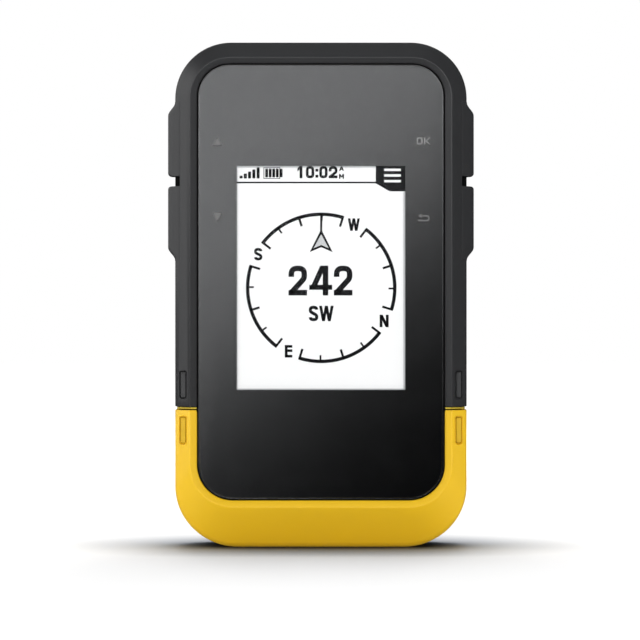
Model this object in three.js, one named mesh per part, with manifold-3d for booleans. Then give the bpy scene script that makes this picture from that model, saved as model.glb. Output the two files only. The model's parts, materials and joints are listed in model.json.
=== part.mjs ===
// Handheld satellite navigation receiver for hikers: a rounded slab that stands on its lower end.
// Millimetres, +Z up, the display faces -Y. The origin is the middle of the underside of the part's
// box. A dark front frame and a yellow bottom cap hold the lens, the display and the board;
// a dark rear shell holds two AA cells under a cover with a quarter-turn latch and a mounting rail.
import * as THREE from "three";
import { mergeVertices } from "three/addons/utils/BufferGeometryUtils.js";
import Module from "manifold-3d";

const wasm = await Module();
wasm.setup();

// ---------------------------------------------------------------- driving dimensions
const HEIGHT = 102;
const DEPTH = 33;
const HALF_WIDTH = 29.4; // body without the side keys
const KEY_HALF_WIDTH = 30.9; // over the side keys
const FRONT = -DEPTH / 2; // crest of the rim around the lens
const PARTING = -2; // joint between the front half and the rear shell
const BACK = 11; // flat back of the cover; the rail stands behind it
const WALL = 2; // of the rear shell, and at the sides of the front half
const GAP = 0.3; // between neighbouring mouldings
const CORNER_STEPS = 8; // segments in each quarter of a big outline

// Outlines in the front view: half width, lowest and highest point, top and bottom corner radius.
const BODY = { half: HALF_WIDTH, low: 0, high: HEIGHT, rTop: 11.3, rLow: 12.6 };
const CREST = { half: 26.3, low: 8.4, high: 98.75, rTop: 8.1, rLow: 8.6 };
const OPENING = { half: 24.9, low: 9.8, high: 97.55, rTop: 6.6, rLow: 7.2 };
const LENS = { half: 24.6, low: 10.1, high: 97.25, rTop: 6.3, rLow: 6.9 };
const LEDGE = { half: 22.3, low: 12.4, high: 95.2, rTop: 4.6, rLow: 5 };
const DOOR = { half: 22.4, low: 2.6, high: 79.6, rTop: 4, rLow: 8 };

const SIDE_SLOPE = 3.5; // how far the sloping band around the rim falls back at the sides and top
const CHIN_SLOPE = 8; // and at the bottom, where the band is the wide chin
const EDGE_FALL = 0.9; // the rounding between that band and the side wall
const CROWN_START = 0.5; // where the rear shell starts to curve in
const CROWN_INSET = 11; // how far it has come in at the flat back
const HEEL_RADIUS = 4; // rounding of the back's bottom edge

const SEAM_LOW = 27.95; // top of the cap's full surface
const SEAM_HIGH = 28.62; // bottom of the dark frame
const SEAM_STEP = 0.35; // how far the cap's tongue lies back in the seam
const POCKET = { x: 27.75, half: 0.78, floor: -13.6, frame: [30.15, 35.85], cap: [21, 26.7] };

// The side keys: height range of each, and depth range of the pad.
const KEYS = [
  { row: "upper", low: 75.05, high: 90, ramp: "top" },
  { row: "lower", low: 58, high: 73.0, ramp: "bottom" },
];
const KEY_FRONT = -14.15;
const KEY_REAR = -5.4;
const KEY_SEAT = 28; // the pad's inner face inside its window
const KEY_TRAVEL = 0.6;
const KEY_GAP = 0.15;
const SWITCH_Y = -8.4; // depth of the switches' actuators
const SWITCH_TIP = 24.65; // how far out a side switch's actuator reaches
const POWER_SWITCH_TIP = 97.25;
const TIP_GAP = 0.1; // between a pressed key's post and its switch

// Layers behind the lens, from front to back.
const RIM_WIDTH = CREST.half - OPENING.half; // the rim's inner slope
const RIM_FALL = 0.8;
const LENS_FACE = -15.8;
const LENS_THICK = 1;
const LENS_SEAT = -14.4;
const MASK_THICK = 0.2;
const PANEL_FACE = -14.3;
const BOARD_FACE = -10.4;
const BOARD_BACK = -9.4;
const WINDOW = { half: 16.95, low: 32, high: 77 }; // the clear part of the lens
const PANEL = { half: 19.4, low: 28, high: 80.4 };

// The cells and their bay.
const CELL_RADIUS = 7.1;
const CELL_LENGTH = 49.2;
const NUB_LENGTH = 1.3;
const CELL_X = 7.6;
const CELL_Y = 1.6;
const BAY = { half: 15.1, low: 19.6, high: 75.8, floor: -6 };
const BAY_WALL = 1.2;
const LEDGE_FRONT = 4.7; // the bulkhead that carries the cover
const LEDGE_BACK = 5.9;
const COVER_INNER = 7.2;
const COVER_POCKET = 9.2;
const SCREW_PLACES = [
  [-20.9, 9],
  [20.9, 9],
  [-20.9, 76],
  [20.9, 76],
];

const LATCH_Z = 11.6;
const DISH_RADIUS = 7.2;
const DISH_FLOOR = 8.4;
const WELL_RADIUS = 5.6; // blind well in the bulkhead where the latch's tongue turns
const WELL_FLOOR = 1.7;
const RING_RADIUS = 5.9;
const RING_WIRE = 0.75;
const RING_Y = 9.75;
const RAIL = { neck: 4, head: 6.5, step: 13.6, low: 34, high: 70 };
const RAIL_SCREWS = [40, 64];
const PORT_Z = 88;
const USB_BOARD_BACK = 1.7;
const FLAP = { half: 8, low: PORT_Z - 4.4, high: PORT_Z + 4.4, rTop: 2, rLow: 2, floor: 9.5 };
const POWER = { half: 5.5, y: -7.4, halfDepth: 2.1 };

// ---------------------------------------------------------------- solids and helpers
// A three.js geometry as a solid, turned to face outwards if a mirroring made it face in.
function solid(geometry) {
  const bare = geometry.clone();
  bare.deleteAttribute("normal");
  bare.deleteAttribute("uv");
  const merged = mergeVertices(bare, 1e-4);
  const build = (triVerts) =>
    new wasm.Manifold(
      new wasm.Mesh({ numProp: 3, vertProperties: merged.attributes.position.array, triVerts }),
    );
  const triangles = new Uint32Array(merged.index.array);
  const made = build(triangles);
  if (made.volume() > 0) return made;
  for (let i = 0; i < triangles.length; i += 3) {
    [triangles[i + 1], triangles[i + 2]] = [triangles[i + 2], triangles[i + 1]];
  }
  return build(triangles);
}

// A box between two corners.
function block([x0, x1], [y0, y1], [z0, z1]) {
  const box = new THREE.BoxGeometry(x1 - x0, y1 - y0, z1 - z0);
  return solid(box.translate((x0 + x1) / 2, (y0 + y1) / 2, (z0 + z1) / 2));
}

// A round bar between two heights along one axis, with its centre at the other two coordinates.
function bar(axis, radius, [from, to], at, radiusTo = radius, segments = 24) {
  const cylinder = new THREE.CylinderGeometry(radiusTo, radius, to - from, segments);
  cylinder.translate(0, (from + to) / 2, 0);
  if (axis === "x") cylinder.rotateZ(-Math.PI / 2).translate(0, at[0], at[1]);
  if (axis === "y") cylinder.translate(at[0], 0, at[1]);
  if (axis === "z") cylinder.rotateX(Math.PI / 2).translate(at[0], at[1], 0);
  return solid(cylinder);
}

// The same outline moved inwards, or outwards by a negative amount.
function inset(outline, by) {
  return {
    half: outline.half - by,
    low: outline.low + by,
    high: outline.high - by,
    rTop: Math.max(0.4, outline.rTop - by),
    rLow: Math.max(0.4, outline.rLow - by),
  };
}

// Points around a rounded rectangle in the front view. down is 0 at the sides and the top, and 1 along
// the bottom.
function around(outline, steps = CORNER_STEPS) {
  const { half, low, high, rTop, rLow } = outline;
  const corners = [
    { x: half - rLow, z: low + rLow, r: rLow, from: -Math.PI / 2 },
    { x: half - rTop, z: high - rTop, r: rTop, from: 0 },
    { x: rTop - half, z: high - rTop, r: rTop, from: Math.PI / 2 },
    { x: rLow - half, z: low + rLow, r: rLow, from: Math.PI },
  ];
  return corners.flatMap(({ x, z, r, from }) =>
    Array.from({ length: steps + 1 }, (_, i) => {
      const angle = from + (i / steps) * (Math.PI / 2);
      const drop = Math.max(0, -Math.sin(angle));
      return { x: x + r * Math.cos(angle), z: z + r * Math.sin(angle), down: drop * drop };
    }),
  );
}

// A closed body through rings of [x, y, z] points, all of one length.
function loft(rings) {
  const count = rings[0].length;
  const positions = rings.flat(2);
  const index = [];
  for (let r = 0; r + 1 < rings.length; r += 1) {
    for (let i = 0; i < count; i += 1) {
      const [a, b] = [r * count + i, r * count + ((i + 1) % count)];
      index.push(a, b, b + count, a, b + count, a + count);
    }
  }
  const end = (ring, start, flip) => {
    const flat = ring.map(([x, , z]) => new THREE.Vector2(x, z));
    for (const [a, b, c] of THREE.ShapeUtils.triangulateShape(flat, [])) {
      index.push(start + a, start + (flip ? c : b), start + (flip ? b : c));
    }
  };
  end(rings[0], 0, true);
  end(rings[rings.length - 1], (rings.length - 1) * count, false);
  const geometry = new THREE.BufferGeometry();
  geometry.setAttribute("position", new THREE.Float32BufferAttribute(positions, 3));
  geometry.setIndex(index);
  return solid(geometry);
}

// An outline extruded along Y.
function plate(outline, [y0, y1], steps = CORNER_STEPS) {
  const points = around(outline, steps);
  return loft([y0, y1].map((y) => points.map(({ x, z }) => [x, y, z])));
}

// A flat band between an outline and the same outline moved in.
function ring(outline, width, depths, steps = CORNER_STEPS) {
  const hole = plate(inset(outline, width), [depths[0] - 1, depths[1] + 1], steps);
  return plate(outline, depths, steps).subtract(hole);
}

// A shape in the plane of two axes, extruded along the third.
function prism(points, plane, [from, to]) {
  const shape = new THREE.Shape(points.map(([u, v]) => new THREE.Vector2(u, v)));
  const geometry = new THREE.ExtrudeGeometry(shape, { depth: to - from, bevelEnabled: false });
  geometry.translate(0, 0, from);
  if (plane === "xz") geometry.rotateX(Math.PI / 2).scale(1, -1, 1);
  if (plane === "yz") geometry.rotateX(Math.PI / 2).rotateZ(Math.PI / 2);
  return solid(geometry);
}

// ---------------------------------------------------------------- outer form
// The front half's outside: rim crest, sloping band, rounded edge and side wall, moved in by the given
// amount.
function frontForm(by = 0) {
  const crest = around(inset(CREST, by));
  const edge = around(inset(BODY, by));
  const slopeRing = (share, fall) =>
    crest.map((c, i) => {
      const e = edge[i];
      const slope = THREE.MathUtils.lerp(SIDE_SLOPE, CHIN_SLOPE, e.down);
      const x = THREE.MathUtils.lerp(c.x, e.x, share);
      const z = THREE.MathUtils.lerp(c.z, e.z, share);
      return [x, FRONT + by + slope * Math.min(1, share) + fall, z];
    });
  return loft([
    slopeRing(0, 0),
    slopeRing(0.88, 0),
    slopeRing(0.97, EDGE_FALL * 0.3),
    slopeRing(1, EDGE_FALL),
    edge.map(({ x, z }) => [x, PARTING, z]),
  ]);
}

// The rear half's outside: a straight wall that turns in over an elliptical crown to the flat back.
function rearForm(by = 0, front = PARTING + GAP, back = BACK - by) {
  const steps = 6;
  const rows = [{ y: front, crown: 0, heel: 0 }];
  for (let i = 0; i <= steps; i += 1) {
    const angle = (i / steps) * (Math.PI / 2);
    const y = CROWN_START + (back - CROWN_START) * Math.sin(angle);
    const over = Math.max(0, y - (back - HEEL_RADIUS));
    const heel = HEEL_RADIUS - Math.sqrt(Math.max(0, HEEL_RADIUS ** 2 - over ** 2));
    rows.push({ y, crown: CROWN_INSET * (1 - Math.cos(angle)), heel });
  }
  return loft(
    rows.map(({ y, crown, heel }) => {
      const outline = {
        half: BODY.half - by - crown,
        low: by + heel,
        high: BODY.high - by - crown,
        rTop: BODY.rTop - by - 0.7 * crown,
        rLow: BODY.rLow - by - 0.7 * crown,
      };
      return around(outline).map(({ x, z }) => [x, y, z]);
    }),
  );
}

// ---------------------------------------------------------------- side keys
// Plan view of a side key's pad: its front continues the sloping band, its back leans in to the wall.
function padPlan(side) {
  const rise = SIDE_SLOPE / (BODY.half - CREST.half);
  const bandX = (y) => CREST.half + (y - FRONT) / rise;
  const frontX = bandX(KEY_FRONT);
  const shoulder = KEY_FRONT + (KEY_HALF_WIDTH - 0.35 - frontX) * rise;
  return [
    [KEY_SEAT, KEY_FRONT],
    [frontX, KEY_FRONT],
    [KEY_HALF_WIDTH - 0.35, shoulder],
    [KEY_HALF_WIDTH, shoulder + 0.7],
    [KEY_HALF_WIDTH, KEY_REAR - 2.2],
    [KEY_HALF_WIDTH - 0.4, KEY_REAR - 1.2],
    [BODY.half + 0.05, KEY_REAR],
    [KEY_SEAT, KEY_REAR],
  ].map(([x, y]) => [side * x, y]);
}

// Front view of a pad: a ramp at its outer end, and a rounded square end at the notch between the keys.
function padFace(key, side) {
  const out = KEY_HALF_WIDTH;
  const wall = BODY.half + 0.05;
  const up = key.ramp === "top";
  const [end, notch, way] = up ? [key.high, key.low, 1] : [key.low, key.high, -1];
  const points = [
    [KEY_SEAT - 1, notch],
    [out - 0.5, notch],
    [out - 0.15, notch + way * 0.15],
    [out, notch + way * 0.5],
    [out, end - way * 2.6],
    [out - 0.25, end - way * 1.9],
    [wall + 0.25, end - way * 0.75],
    [wall, end],
    [KEY_SEAT - 1, end],
  ];
  return points.map(([x, z]) => [side * x, z]);
}

function sideKey(key, side) {
  const pad = prism(padPlan(side), "xy", [key.low - 1, key.high + 1]).intersect(
    prism(padFace(key, side), "xz", [KEY_FRONT - 1, KEY_REAR + 1]),
  );
  const span = (a, b) => (side > 0 ? [a, b] : [-b, -a]);
  const flange = block(span(26.1, 27), [KEY_FRONT + 1.5, KEY_REAR + 0.9], [key.low - 0.8, key.high + 0.8]);
  const neckHeight = [key.low + 0.1, key.high - 0.1];
  const neck = block(span(26.5, KEY_SEAT + 0.3), [KEY_FRONT + 1.3, KEY_REAR - 0.1], neckHeight);
  const tip = SWITCH_TIP + KEY_TRAVEL + TIP_GAP;
  const post = bar("x", 1.4, span(tip, 26.5), [SWITCH_Y, (key.low + key.high) / 2], 1.4, 16);
  return pad.add(neck).add(flange).add(post);
}

// The window that a key passes through, with the key's running gap around it.
function keyWindow(key, side) {
  const span = side > 0 ? [26.4, 35] : [-35, -26.4];
  return block(span, [KEY_FRONT - KEY_GAP, KEY_REAR + KEY_GAP], [key.low - KEY_GAP, key.high + KEY_GAP]);
}

// ---------------------------------------------------------------- front half
// A shallow rounded pocket sunk into the sloping band at one side.
function pocket(side, [low, high]) {
  const points = around({ half: POCKET.half, low, high, rTop: 0.4, rLow: 0.65 }, 4);
  return prism(points.map(({ x, z }) => [side * POCKET.x + x, z]), "xz", [FRONT - 0.5, POCKET.floor]);
}

// Everything that the front half's mouldings are hollowed by.
function frontHollow() {
  const cavity = { half: BODY.half - WALL, low: WALL + 0.2, high: BODY.high - WALL, rTop: 9.3, rLow: 10.4 };
  const shallow = { ...cavity, low: 7.4, rLow: 8 };
  const room = loft(
    [
      [-13, shallow],
      [-7.8, cavity],
      [PARTING + 1, cavity],
    ].map(([y, outline]) => around(outline).map(({ x, z }) => [x, y, z])),
  );
  const rim = loft(
    [
      [FRONT - RIM_FALL / 2, 1.5 * RIM_WIDTH],
      [FRONT + RIM_FALL, 0],
      [LENS_SEAT, 0],
    ].map(([y, out]) => around(inset(OPENING, -out)).map(({ x, z }) => [x, y, z])),
  );
  return room.add(rim).add(plate(LEDGE, [LENS_SEAT - 1, -12]));
}

// Cuts the groove for the housing gasket in the back edge of a front moulding.
function withGroove(moulding) {
  return moulding.subtract(ring(inset(BODY, 0.6), 1, [PARTING - 1.1, PARTING + 1]));
}

// A screw post on the wall of the front half.
function screwPost([x, z]) {
  const side = Math.sign(x);
  const rib = block(side > 0 ? [x, 27.8] : [-27.8, x], [-4, PARTING - 0.4], [z - 0.8, z + 0.8]);
  const post = bar("y", 2.4, [-8.6, PARTING - 0.4], [x, z], 2.4, 16);
  return post.add(rib).subtract(bar("y", 1.15, [-8, PARTING + 1], [x, z], 1.15, 12));
}

const hollow = frontHollow();

function frontFrame() {
  let frame = frontForm().subtract(hollow);
  frame = frame.intersect(block([-40, 40], [-20, 0], [SEAM_HIGH, 110]));
  for (const place of SCREW_PLACES.filter(([, z]) => z > SEAM_HIGH)) frame = frame.add(screwPost(place));
  for (const side of [-1, 1]) {
    for (const key of KEYS) frame = frame.subtract(keyWindow(key, side));
    const notch = side > 0 ? [28.4, 32] : [-32, -28.4];
    frame = frame.subtract(block(notch, [-17, -12.4], [KEYS[1].high - 0.1, KEYS[0].low + 0.1]));
    frame = frame.subtract(pocket(side, POCKET.frame));
  }
  const { half, y, halfDepth } = POWER;
  const slot = block([-half - 0.2, half + 0.2], [y - halfDepth - 0.2, y + halfDepth + 0.2], [99, 103]);
  return withGroove(frame.subtract(slot));
}

function bottomCap() {
  const full = frontForm().intersect(block([-40, 40], [-20, 0], [-1, SEAM_LOW]));
  const tongueRange = block([-40, 40], [-20, 0], [SEAM_LOW - 0.5, SEAM_HIGH - GAP]);
  const tongue = frontForm(SEAM_STEP).intersect(tongueRange);
  let cap = full.add(tongue).subtract(hollow);
  for (const place of SCREW_PLACES.filter(([, z]) => z < SEAM_LOW)) cap = cap.add(screwPost(place));
  for (const side of [-1, 1]) cap = cap.subtract(pocket(side, POCKET.cap));
  return withGroove(cap);
}

function powerKey() {
  const { half, y, halfDepth } = POWER;
  const pad = { half, low: y - halfDepth, high: y + halfDepth, rTop: halfDepth, rLow: halfDepth };
  const outline = around(pad, 5).map(({ x, z }) => [x, z]);
  const button = prism(outline, "xy", [99.2, 101.85]);
  const flange = block([-half - 0.8, half + 0.8], [y - halfDepth - 0.8, y + halfDepth + 0.8], [98.7, 99.6]);
  const tip = POWER_SWITCH_TIP + KEY_TRAVEL + TIP_GAP;
  return button.add(flange).add(bar("z", 1.2, [tip, 98.8], [0, SWITCH_Y], 1.2, 16));
}

// ---------------------------------------------------------------- rear half
function rearShell() {
  const hollowRear = rearForm(WALL, PARTING - 1, BACK - WALL);
  const bulkhead = plate(
    { half: 26.6, low: 1.2, high: DOOR.high + 2.2, rTop: 4, rLow: 11 },
    [LEDGE_FRONT, LEDGE_BACK],
  ).intersect(rearForm(0.8));
  const { half, low, high, floor } = BAY;
  const wide = half + BAY_WALL;
  const bay = block([-wide, wide], [floor - BAY_WALL, LEDGE_BACK], [low - BAY_WALL, high + BAY_WALL]);
  const room = block([-half, half], [floor, 20], [low, high]);
  let shell = rearForm().subtract(hollowRear).add(bulkhead).add(bay).subtract(room);
  shell = shell.subtract(plate(inset(DOOR, -0.25), [LEDGE_BACK, 20]));
  for (const place of SCREW_PLACES) shell = shell.subtract(bar("y", 1.3, [-5, 20], place, 1.3, 12));
  const wellAt = (radius, from, to) => bar("y", radius, [from, to], [0, LATCH_Z], radius, 32);
  shell = shell.add(wellAt(WELL_RADIUS + 1, WELL_FLOOR - 1, LEDGE_BACK - 0.1));
  shell = shell.subtract(wellAt(WELL_RADIUS, WELL_FLOOR, 8));
  const collar = plate(inset(FLAP, -1.4), [6.6, BACK - 1], 5);
  shell = shell.add(collar.intersect(rearForm(0.3)));
  for (const x of [-6.6, 6.6]) {
    shell = shell.add(bar("y", 1, [USB_BOARD_BACK + 0.1, 7], [x, FLAP.low], 1, 12));
  }
  const port = { half: 6.1, low: PORT_Z - 3.1, high: PORT_Z + 3.1, rTop: 2, rLow: 2 };
  const flapSeat = plate(inset(FLAP, -GAP), [FLAP.floor - 0.1, 20], 5);
  return shell.subtract(flapSeat).subtract(plate(port, [5, 20], 5));
}

function weatherCap() {
  const flap = plate(FLAP, [FLAP.floor, BACK], 5);
  const plugFace = { half: 5.4, low: PORT_Z - 2.4, high: PORT_Z + 2.4, rTop: 1.6, rLow: 1.6 };
  const plug = plate(plugFace, [9.35, FLAP.floor + 0.1], 5);
  const lip = bar("z", 0.35, [PORT_Z - 2.6, PORT_Z + 2.6], [7.6, BACK - 0.1], 0.35, 10);
  return flap.intersect(rearForm()).add(plug).add(lip);
}

function batteryCover() {
  let cover = rearForm().intersect(plate(DOOR, [COVER_INNER, 20]));
  const pocket = plate({ half: 15.4, low: 19.2, high: 76.2, rTop: 2, rLow: 2 }, [0, COVER_POCKET], 4);
  cover = cover.subtract(pocket);
  cover = cover.subtract(bar("y", DISH_RADIUS, [DISH_FLOOR, 20], [0, LATCH_Z], DISH_RADIUS + 0.6, 40));
  cover = cover.subtract(bar("y", 2.8, [5, 20], [0, LATCH_Z]));
  for (const z of RAIL_SCREWS) cover = cover.subtract(bar("y", 1.2, [5, 20], [0, z], 1.2, 12));
  return cover;
}

// T-shaped rail with a cross notch near its top, where a clip or bar mount locks.
function mountingRail() {
  const { neck, head, step, low, high } = RAIL;
  const foot = BACK + 0.05;
  const back = DEPTH / 2;
  const profile = [
    [-neck - 1.2, foot],
    [neck + 1.2, foot],
    [neck, foot + 0.9],
    [neck, step],
    [head, step + 0.2],
    [head, back - 0.8],
    [head - 0.8, back],
    [0.8 - head, back],
    [-head, back - 0.8],
    [-head, step + 0.2],
    [-neck, step],
    [-neck, foot + 0.9],
  ];
  let rail = prism(profile, "xy", [low, high]);
  rail = rail.subtract(block([-3, 3], [back - 1.1, back + 1], [high - 9, high - 6.6]));
  for (const z of RAIL_SCREWS) {
    rail = rail.subtract(bar("y", 1.15, [foot - 1, foot + 3.3], [0, z], 1.15, 12));
  }
  return rail;
}

function latchBarrel() {
  const head = bar("y", 3.6, [DISH_FLOOR + 0.15, BACK - 0.2], [0, LATCH_Z], 3.4);
  const shaft = bar("y", 2.5, [4.6, DISH_FLOOR + 0.3], [0, LATCH_Z]);
  const stub = bar("y", 1.5, [2.6, 4.7], [0, LATCH_Z], 1.5, 16);
  const eye = bar("x", RING_WIRE + 0.25, [-5, 5], [RING_Y, LATCH_Z], RING_WIRE + 0.25, 16);
  return head.add(shaft).add(stub).subtract(eye);
}

// The bar that turns in the well. It lies crosswise when the latch is locked.
function latchTongue() {
  const outline = { half: 5.2, low: LATCH_Z - 1.9, high: LATCH_Z + 1.9, rTop: 1.85, rLow: 1.85 };
  return plate(outline, [3.3, 4.4], 4).subtract(bar("y", 1.65, [2, 5], [0, LATCH_Z], 1.65, 16));
}

// A wire loop: a pivot pin through the barrel, closed by a half circle below it.
function latchRing() {
  class HalfLoop extends THREE.Curve {
    getPoint(t, target = new THREE.Vector3()) {
      const angle = Math.PI * (1 + t);
      return target.set(RING_RADIUS * Math.cos(angle), RING_Y, LATCH_Z + RING_RADIUS * Math.sin(angle));
    }
  }
  const section = new THREE.Shape().absarc(0, 0, RING_WIRE, 0, 2 * Math.PI, false);
  const loop = new THREE.ExtrudeGeometry(section, {
    extrudePath: new HalfLoop(),
    steps: 20,
    curveSegments: 5,
    bevelEnabled: false,
  });
  const reach = RING_RADIUS + 0.45;
  const pin = bar("x", RING_WIRE, [-reach, reach], [RING_Y, LATCH_Z], RING_WIRE, 16);
  return solid(loop).add(pin);
}

// ---------------------------------------------------------------- cells and contacts
// way is 1 with the nub up and -1 with the nub down.
function cell(x, way) {
  const foot = way > 0 ? BAY.low + 4.8 : BAY.high - 4.8;
  const along = (a, b) => (way > 0 ? [foot + a, foot + b] : [foot - b, foot - a]);
  const can = bar("z", CELL_RADIUS, along(0, CELL_LENGTH), [x, CELL_Y], CELL_RADIUS, 32);
  return can.add(bar("z", 2.7, along(CELL_LENGTH - 0.1, CELL_LENGTH + NUB_LENGTH), [x, CELL_Y], 2.7, 20));
}

// Conical spring under a cell's flat end.
function cellSpring(x, way) {
  const turns = 3;
  const height = 3.4;
  const seat = way > 0 ? BAY.low + 0.75 : BAY.high - 0.75;
  class Cone extends THREE.Curve {
    getPoint(t, target = new THREE.Vector3()) {
      const angle = 2 * Math.PI * turns * t;
      const radius = THREE.MathUtils.lerp(5, 2.6, t);
      const [across, deep] = [radius * Math.cos(angle), radius * Math.sin(angle)];
      return target.set(x + across, CELL_Y + deep, seat + way * height * t);
    }
  }
  const wire = new THREE.Shape().absarc(0, 0, 0.35, 0, 2 * Math.PI, false);
  const options = { extrudePath: new Cone(), steps: 12 * turns, curveSegments: 3, bevelEnabled: false };
  return solid(new THREE.ExtrudeGeometry(wire, options));
}

// Plate that a cell's nub touches.
function cellContact(x, way) {
  const face = way > 0 ? BAY.high - 0.15 : BAY.low + 0.15;
  const span = way > 0 ? [face - 0.4, face] : [face, face + 0.4];
  return block([x - 4.5, x + 4.5], [CELL_Y - 4.5, CELL_Y + 4.5], span);
}

function caseScrew([x, z]) {
  const head = bar("y", 1.9, [LEDGE_BACK + 0.05, LEDGE_BACK + 1.1], [x, z], 1.9, 20);
  const shaft = bar("y", 0.95, [-7.6, LEDGE_BACK + 0.1], [x, z], 0.95, 12);
  return head.add(shaft).subtract(bar("y", 0.8, [LEDGE_BACK + 0.5, 9], [x, z], 0.8, 6));
}

function railScrew(z) {
  const head = bar("y", 1.8, [7.75, COVER_POCKET - 0.1], [0, z], 1.8, 20);
  const shaft = bar("y", 0.95, [COVER_POCKET - 0.2, BACK + 3], [0, z], 0.95, 12);
  return head.add(shaft).subtract(bar("y", 0.8, [5, 8.3], [0, z], 0.8, 6));
}

// ---------------------------------------------------------------- display and board
function lensMask() {
  const y = LENS_FACE + LENS_THICK + 0.1;
  const { half, low, high } = WINDOW;
  return plate({ ...LEDGE, half: 22.5, low: 12.2, high: 95.15 }, [y, y + MASK_THICK]).subtract(
    block([-half, half], [y - 1, y + 1], [low, high]),
  );
}

function lensGasket() {
  const y = LENS_FACE + LENS_THICK + 0.1;
  return ring(inset(LENS, 0.3), 1.6, [y, y + MASK_THICK]);
}

function displayBracket() {
  const { half, low, high } = PANEL;
  const tray = block([-half - 1.6, half + 1.6], [PANEL_FACE, -10.7], [low - 1.5, high + 1.5]);
  const seat = block([-half - 0.3, half + 0.3], [PANEL_FACE - 1, -11.5], [low - 0.3, high + 0.3]);
  const flexWay = block([-8, 8], [PANEL_FACE - 1, -11.5], [low - 3, low]);
  const light = block([-12, 12], [-13, -9], [low + 12, high - 12]);
  return tray.subtract(seat).subtract(flexWay).subtract(light);
}

// Ribbon from the foot of the display round to the board.
function displayFlex() {
  const outer = [
    [-13.6, 27.6],
    [-13.6, 23.5],
    [-12.9, 22.6],
    [-10.6, 22.6],
    [-10.6, 22.85],
    [-12.8, 22.85],
    [-13.35, 23.6],
    [-13.35, 27.6],
  ];
  return prism(outer, "yz", [-7, 7]);
}

function mainBoard() {
  let board = plate({ half: 23.6, low: 12.2, high: 96.2, rTop: 4, rLow: 5 }, [BOARD_FACE, BOARD_BACK], 4);
  board = board.subtract(bar("y", 1.6, [-12, -8], [-19.5, 18], 1.6, 16));
  return board.subtract(bar("y", 1.6, [-12, -8], [19.5, 18], 1.6, 16));
}

// A can of thin sheet over the board's parts, with a row of vent holes.
function shieldCan([x0, x1], [z0, z1], height) {
  const y0 = BOARD_BACK + 0.1;
  const can = block([x0, x1], [y0, y0 + height], [z0, z1]);
  let made = can.subtract(block([x0 + 0.3, x1 - 0.3], [y0 - 1, y0 + height - 0.3], [z0 + 0.3, z1 - 0.3]));
  const holes = Math.floor((x1 - x0) / 4);
  for (let i = 0; i < holes; i += 1) {
    const x = (x0 + x1) / 2 + (i - (holes - 1) / 2) * 3.4;
    made = made.subtract(bar("y", 0.6, [y0, y0 + height + 1], [x, (z0 + z1) / 2], 0.6, 8));
  }
  return made;
}

// Push switch on the board's edge: its actuator looks along +X or -X.
function sideSwitch(key, side) {
  const z = (key.low + key.high) / 2;
  const span = (a, b) => (side > 0 ? [a, b] : [-b, -a]);
  const body = block(span(21.3, 24), [BOARD_BACK + 0.1, BOARD_BACK + 2], [z - 2.3, z + 2.3]);
  return body.add(bar("x", 0.8, span(23.9, SWITCH_TIP), [SWITCH_Y, z], 0.8, 12));
}

function powerSwitch() {
  const body = block([-2.3, 2.3], [BOARD_BACK + 0.1, BOARD_BACK + 2], [93.9, 96.6]);
  return body.add(bar("z", 0.8, [96.5, POWER_SWITCH_TIP], [0, SWITCH_Y], 0.8, 12));
}

function usbPort() {
  const [front, back] = [1.9, 9.2];
  const face = { half: 4.47, low: PORT_Z - 1.6, high: PORT_Z + 1.6, rTop: 1.3, rLow: 1.3 };
  const can = plate(face, [front, back], 4).subtract(plate(inset(face, 0.35), [front + 1, back + 1], 4));
  return can.add(block([-3.3, 3.3], [front + 0.5, back - 0.8], [PORT_Z - 0.35, PORT_Z + 0.35]));
}

// ---------------------------------------------------------------- materials
function finish(color, roughness, metalness = 0) {
  return new THREE.MeshStandardMaterial({ color, roughness, metalness });
}
const MATERIAL = {
  housing: finish(0x3a3b3d, 0.55),
  cap: finish(0xf2bc2b, 0.45),
  rubber: finish(0x2b2c2e, 0.8),
  lens: Object.assign(finish(0xdfe3e6, 0.05), { transparent: true, opacity: 0.35 }),
  mask: finish(0x0c0c0d, 0.4),
  display: finish(0xf4f5f3, 0.6),
  inner: finish(0x1b1c1e, 0.6),
  board: finish(0x1d5b35, 0.5),
  flex: finish(0xb5702a, 0.5),
  steel: finish(0xb9bcc0, 0.35, 1),
  brass: finish(0xc9a44d, 0.35, 1),
  ceramic: finish(0xd9cbb0, 0.7),
  sleeve: finish(0x3c6e8f, 0.4),
};

const model = new THREE.Group();

// A group for the meshes that move together.
function body() {
  const group = new THREE.Group();
  model.add(group);
  return group;
}

// Puts a solid in the model as a named mesh.
function place(group, name, made, material) {
  const mesh = made.getMesh();
  const geometry = new THREE.BufferGeometry();
  const positions = [];
  for (let i = 0; i < mesh.numVert; i += 1) {
    positions.push(...mesh.vertProperties.subarray(i * mesh.numProp, i * mesh.numProp + 3));
  }
  geometry.setAttribute("position", new THREE.Float32BufferAttribute(positions, 3));
  geometry.setIndex([...mesh.triVerts]);
  geometry.computeVertexNormals();
  const part = new THREE.Mesh(geometry, material);
  part.name = name;
  group.add(part);
}

// ---------------------------------------------------------------- assembly
const housing = body();
place(housing, "front_frame", frontFrame(), MATERIAL.housing);
place(housing, "bottom_cap", bottomCap(), MATERIAL.cap);
place(housing, "rear_shell", rearShell(), MATERIAL.housing);
const mainSeal = ring(inset(BODY, 0.85), 0.5, [PARTING - 0.9, PARTING + 0.2]);
place(housing, "housing_gasket", mainSeal, MATERIAL.rubber);
place(housing, "lens_cover", plate(LENS, [LENS_FACE, LENS_FACE + LENS_THICK]), MATERIAL.lens);
place(housing, "lens_mask", lensMask(), MATERIAL.mask);
place(housing, "lens_gasket", lensGasket(), MATERIAL.rubber);
const panel = block([-PANEL.half, PANEL.half], [PANEL_FACE, -12.9], [PANEL.low, PANEL.high]);
place(housing, "lcd_panel", panel, MATERIAL.display);
place(housing, "backlight_plate", block([-18.8, 18.8], [-12.7, -11.7], [29, 79.4]), MATERIAL.display);
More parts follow.
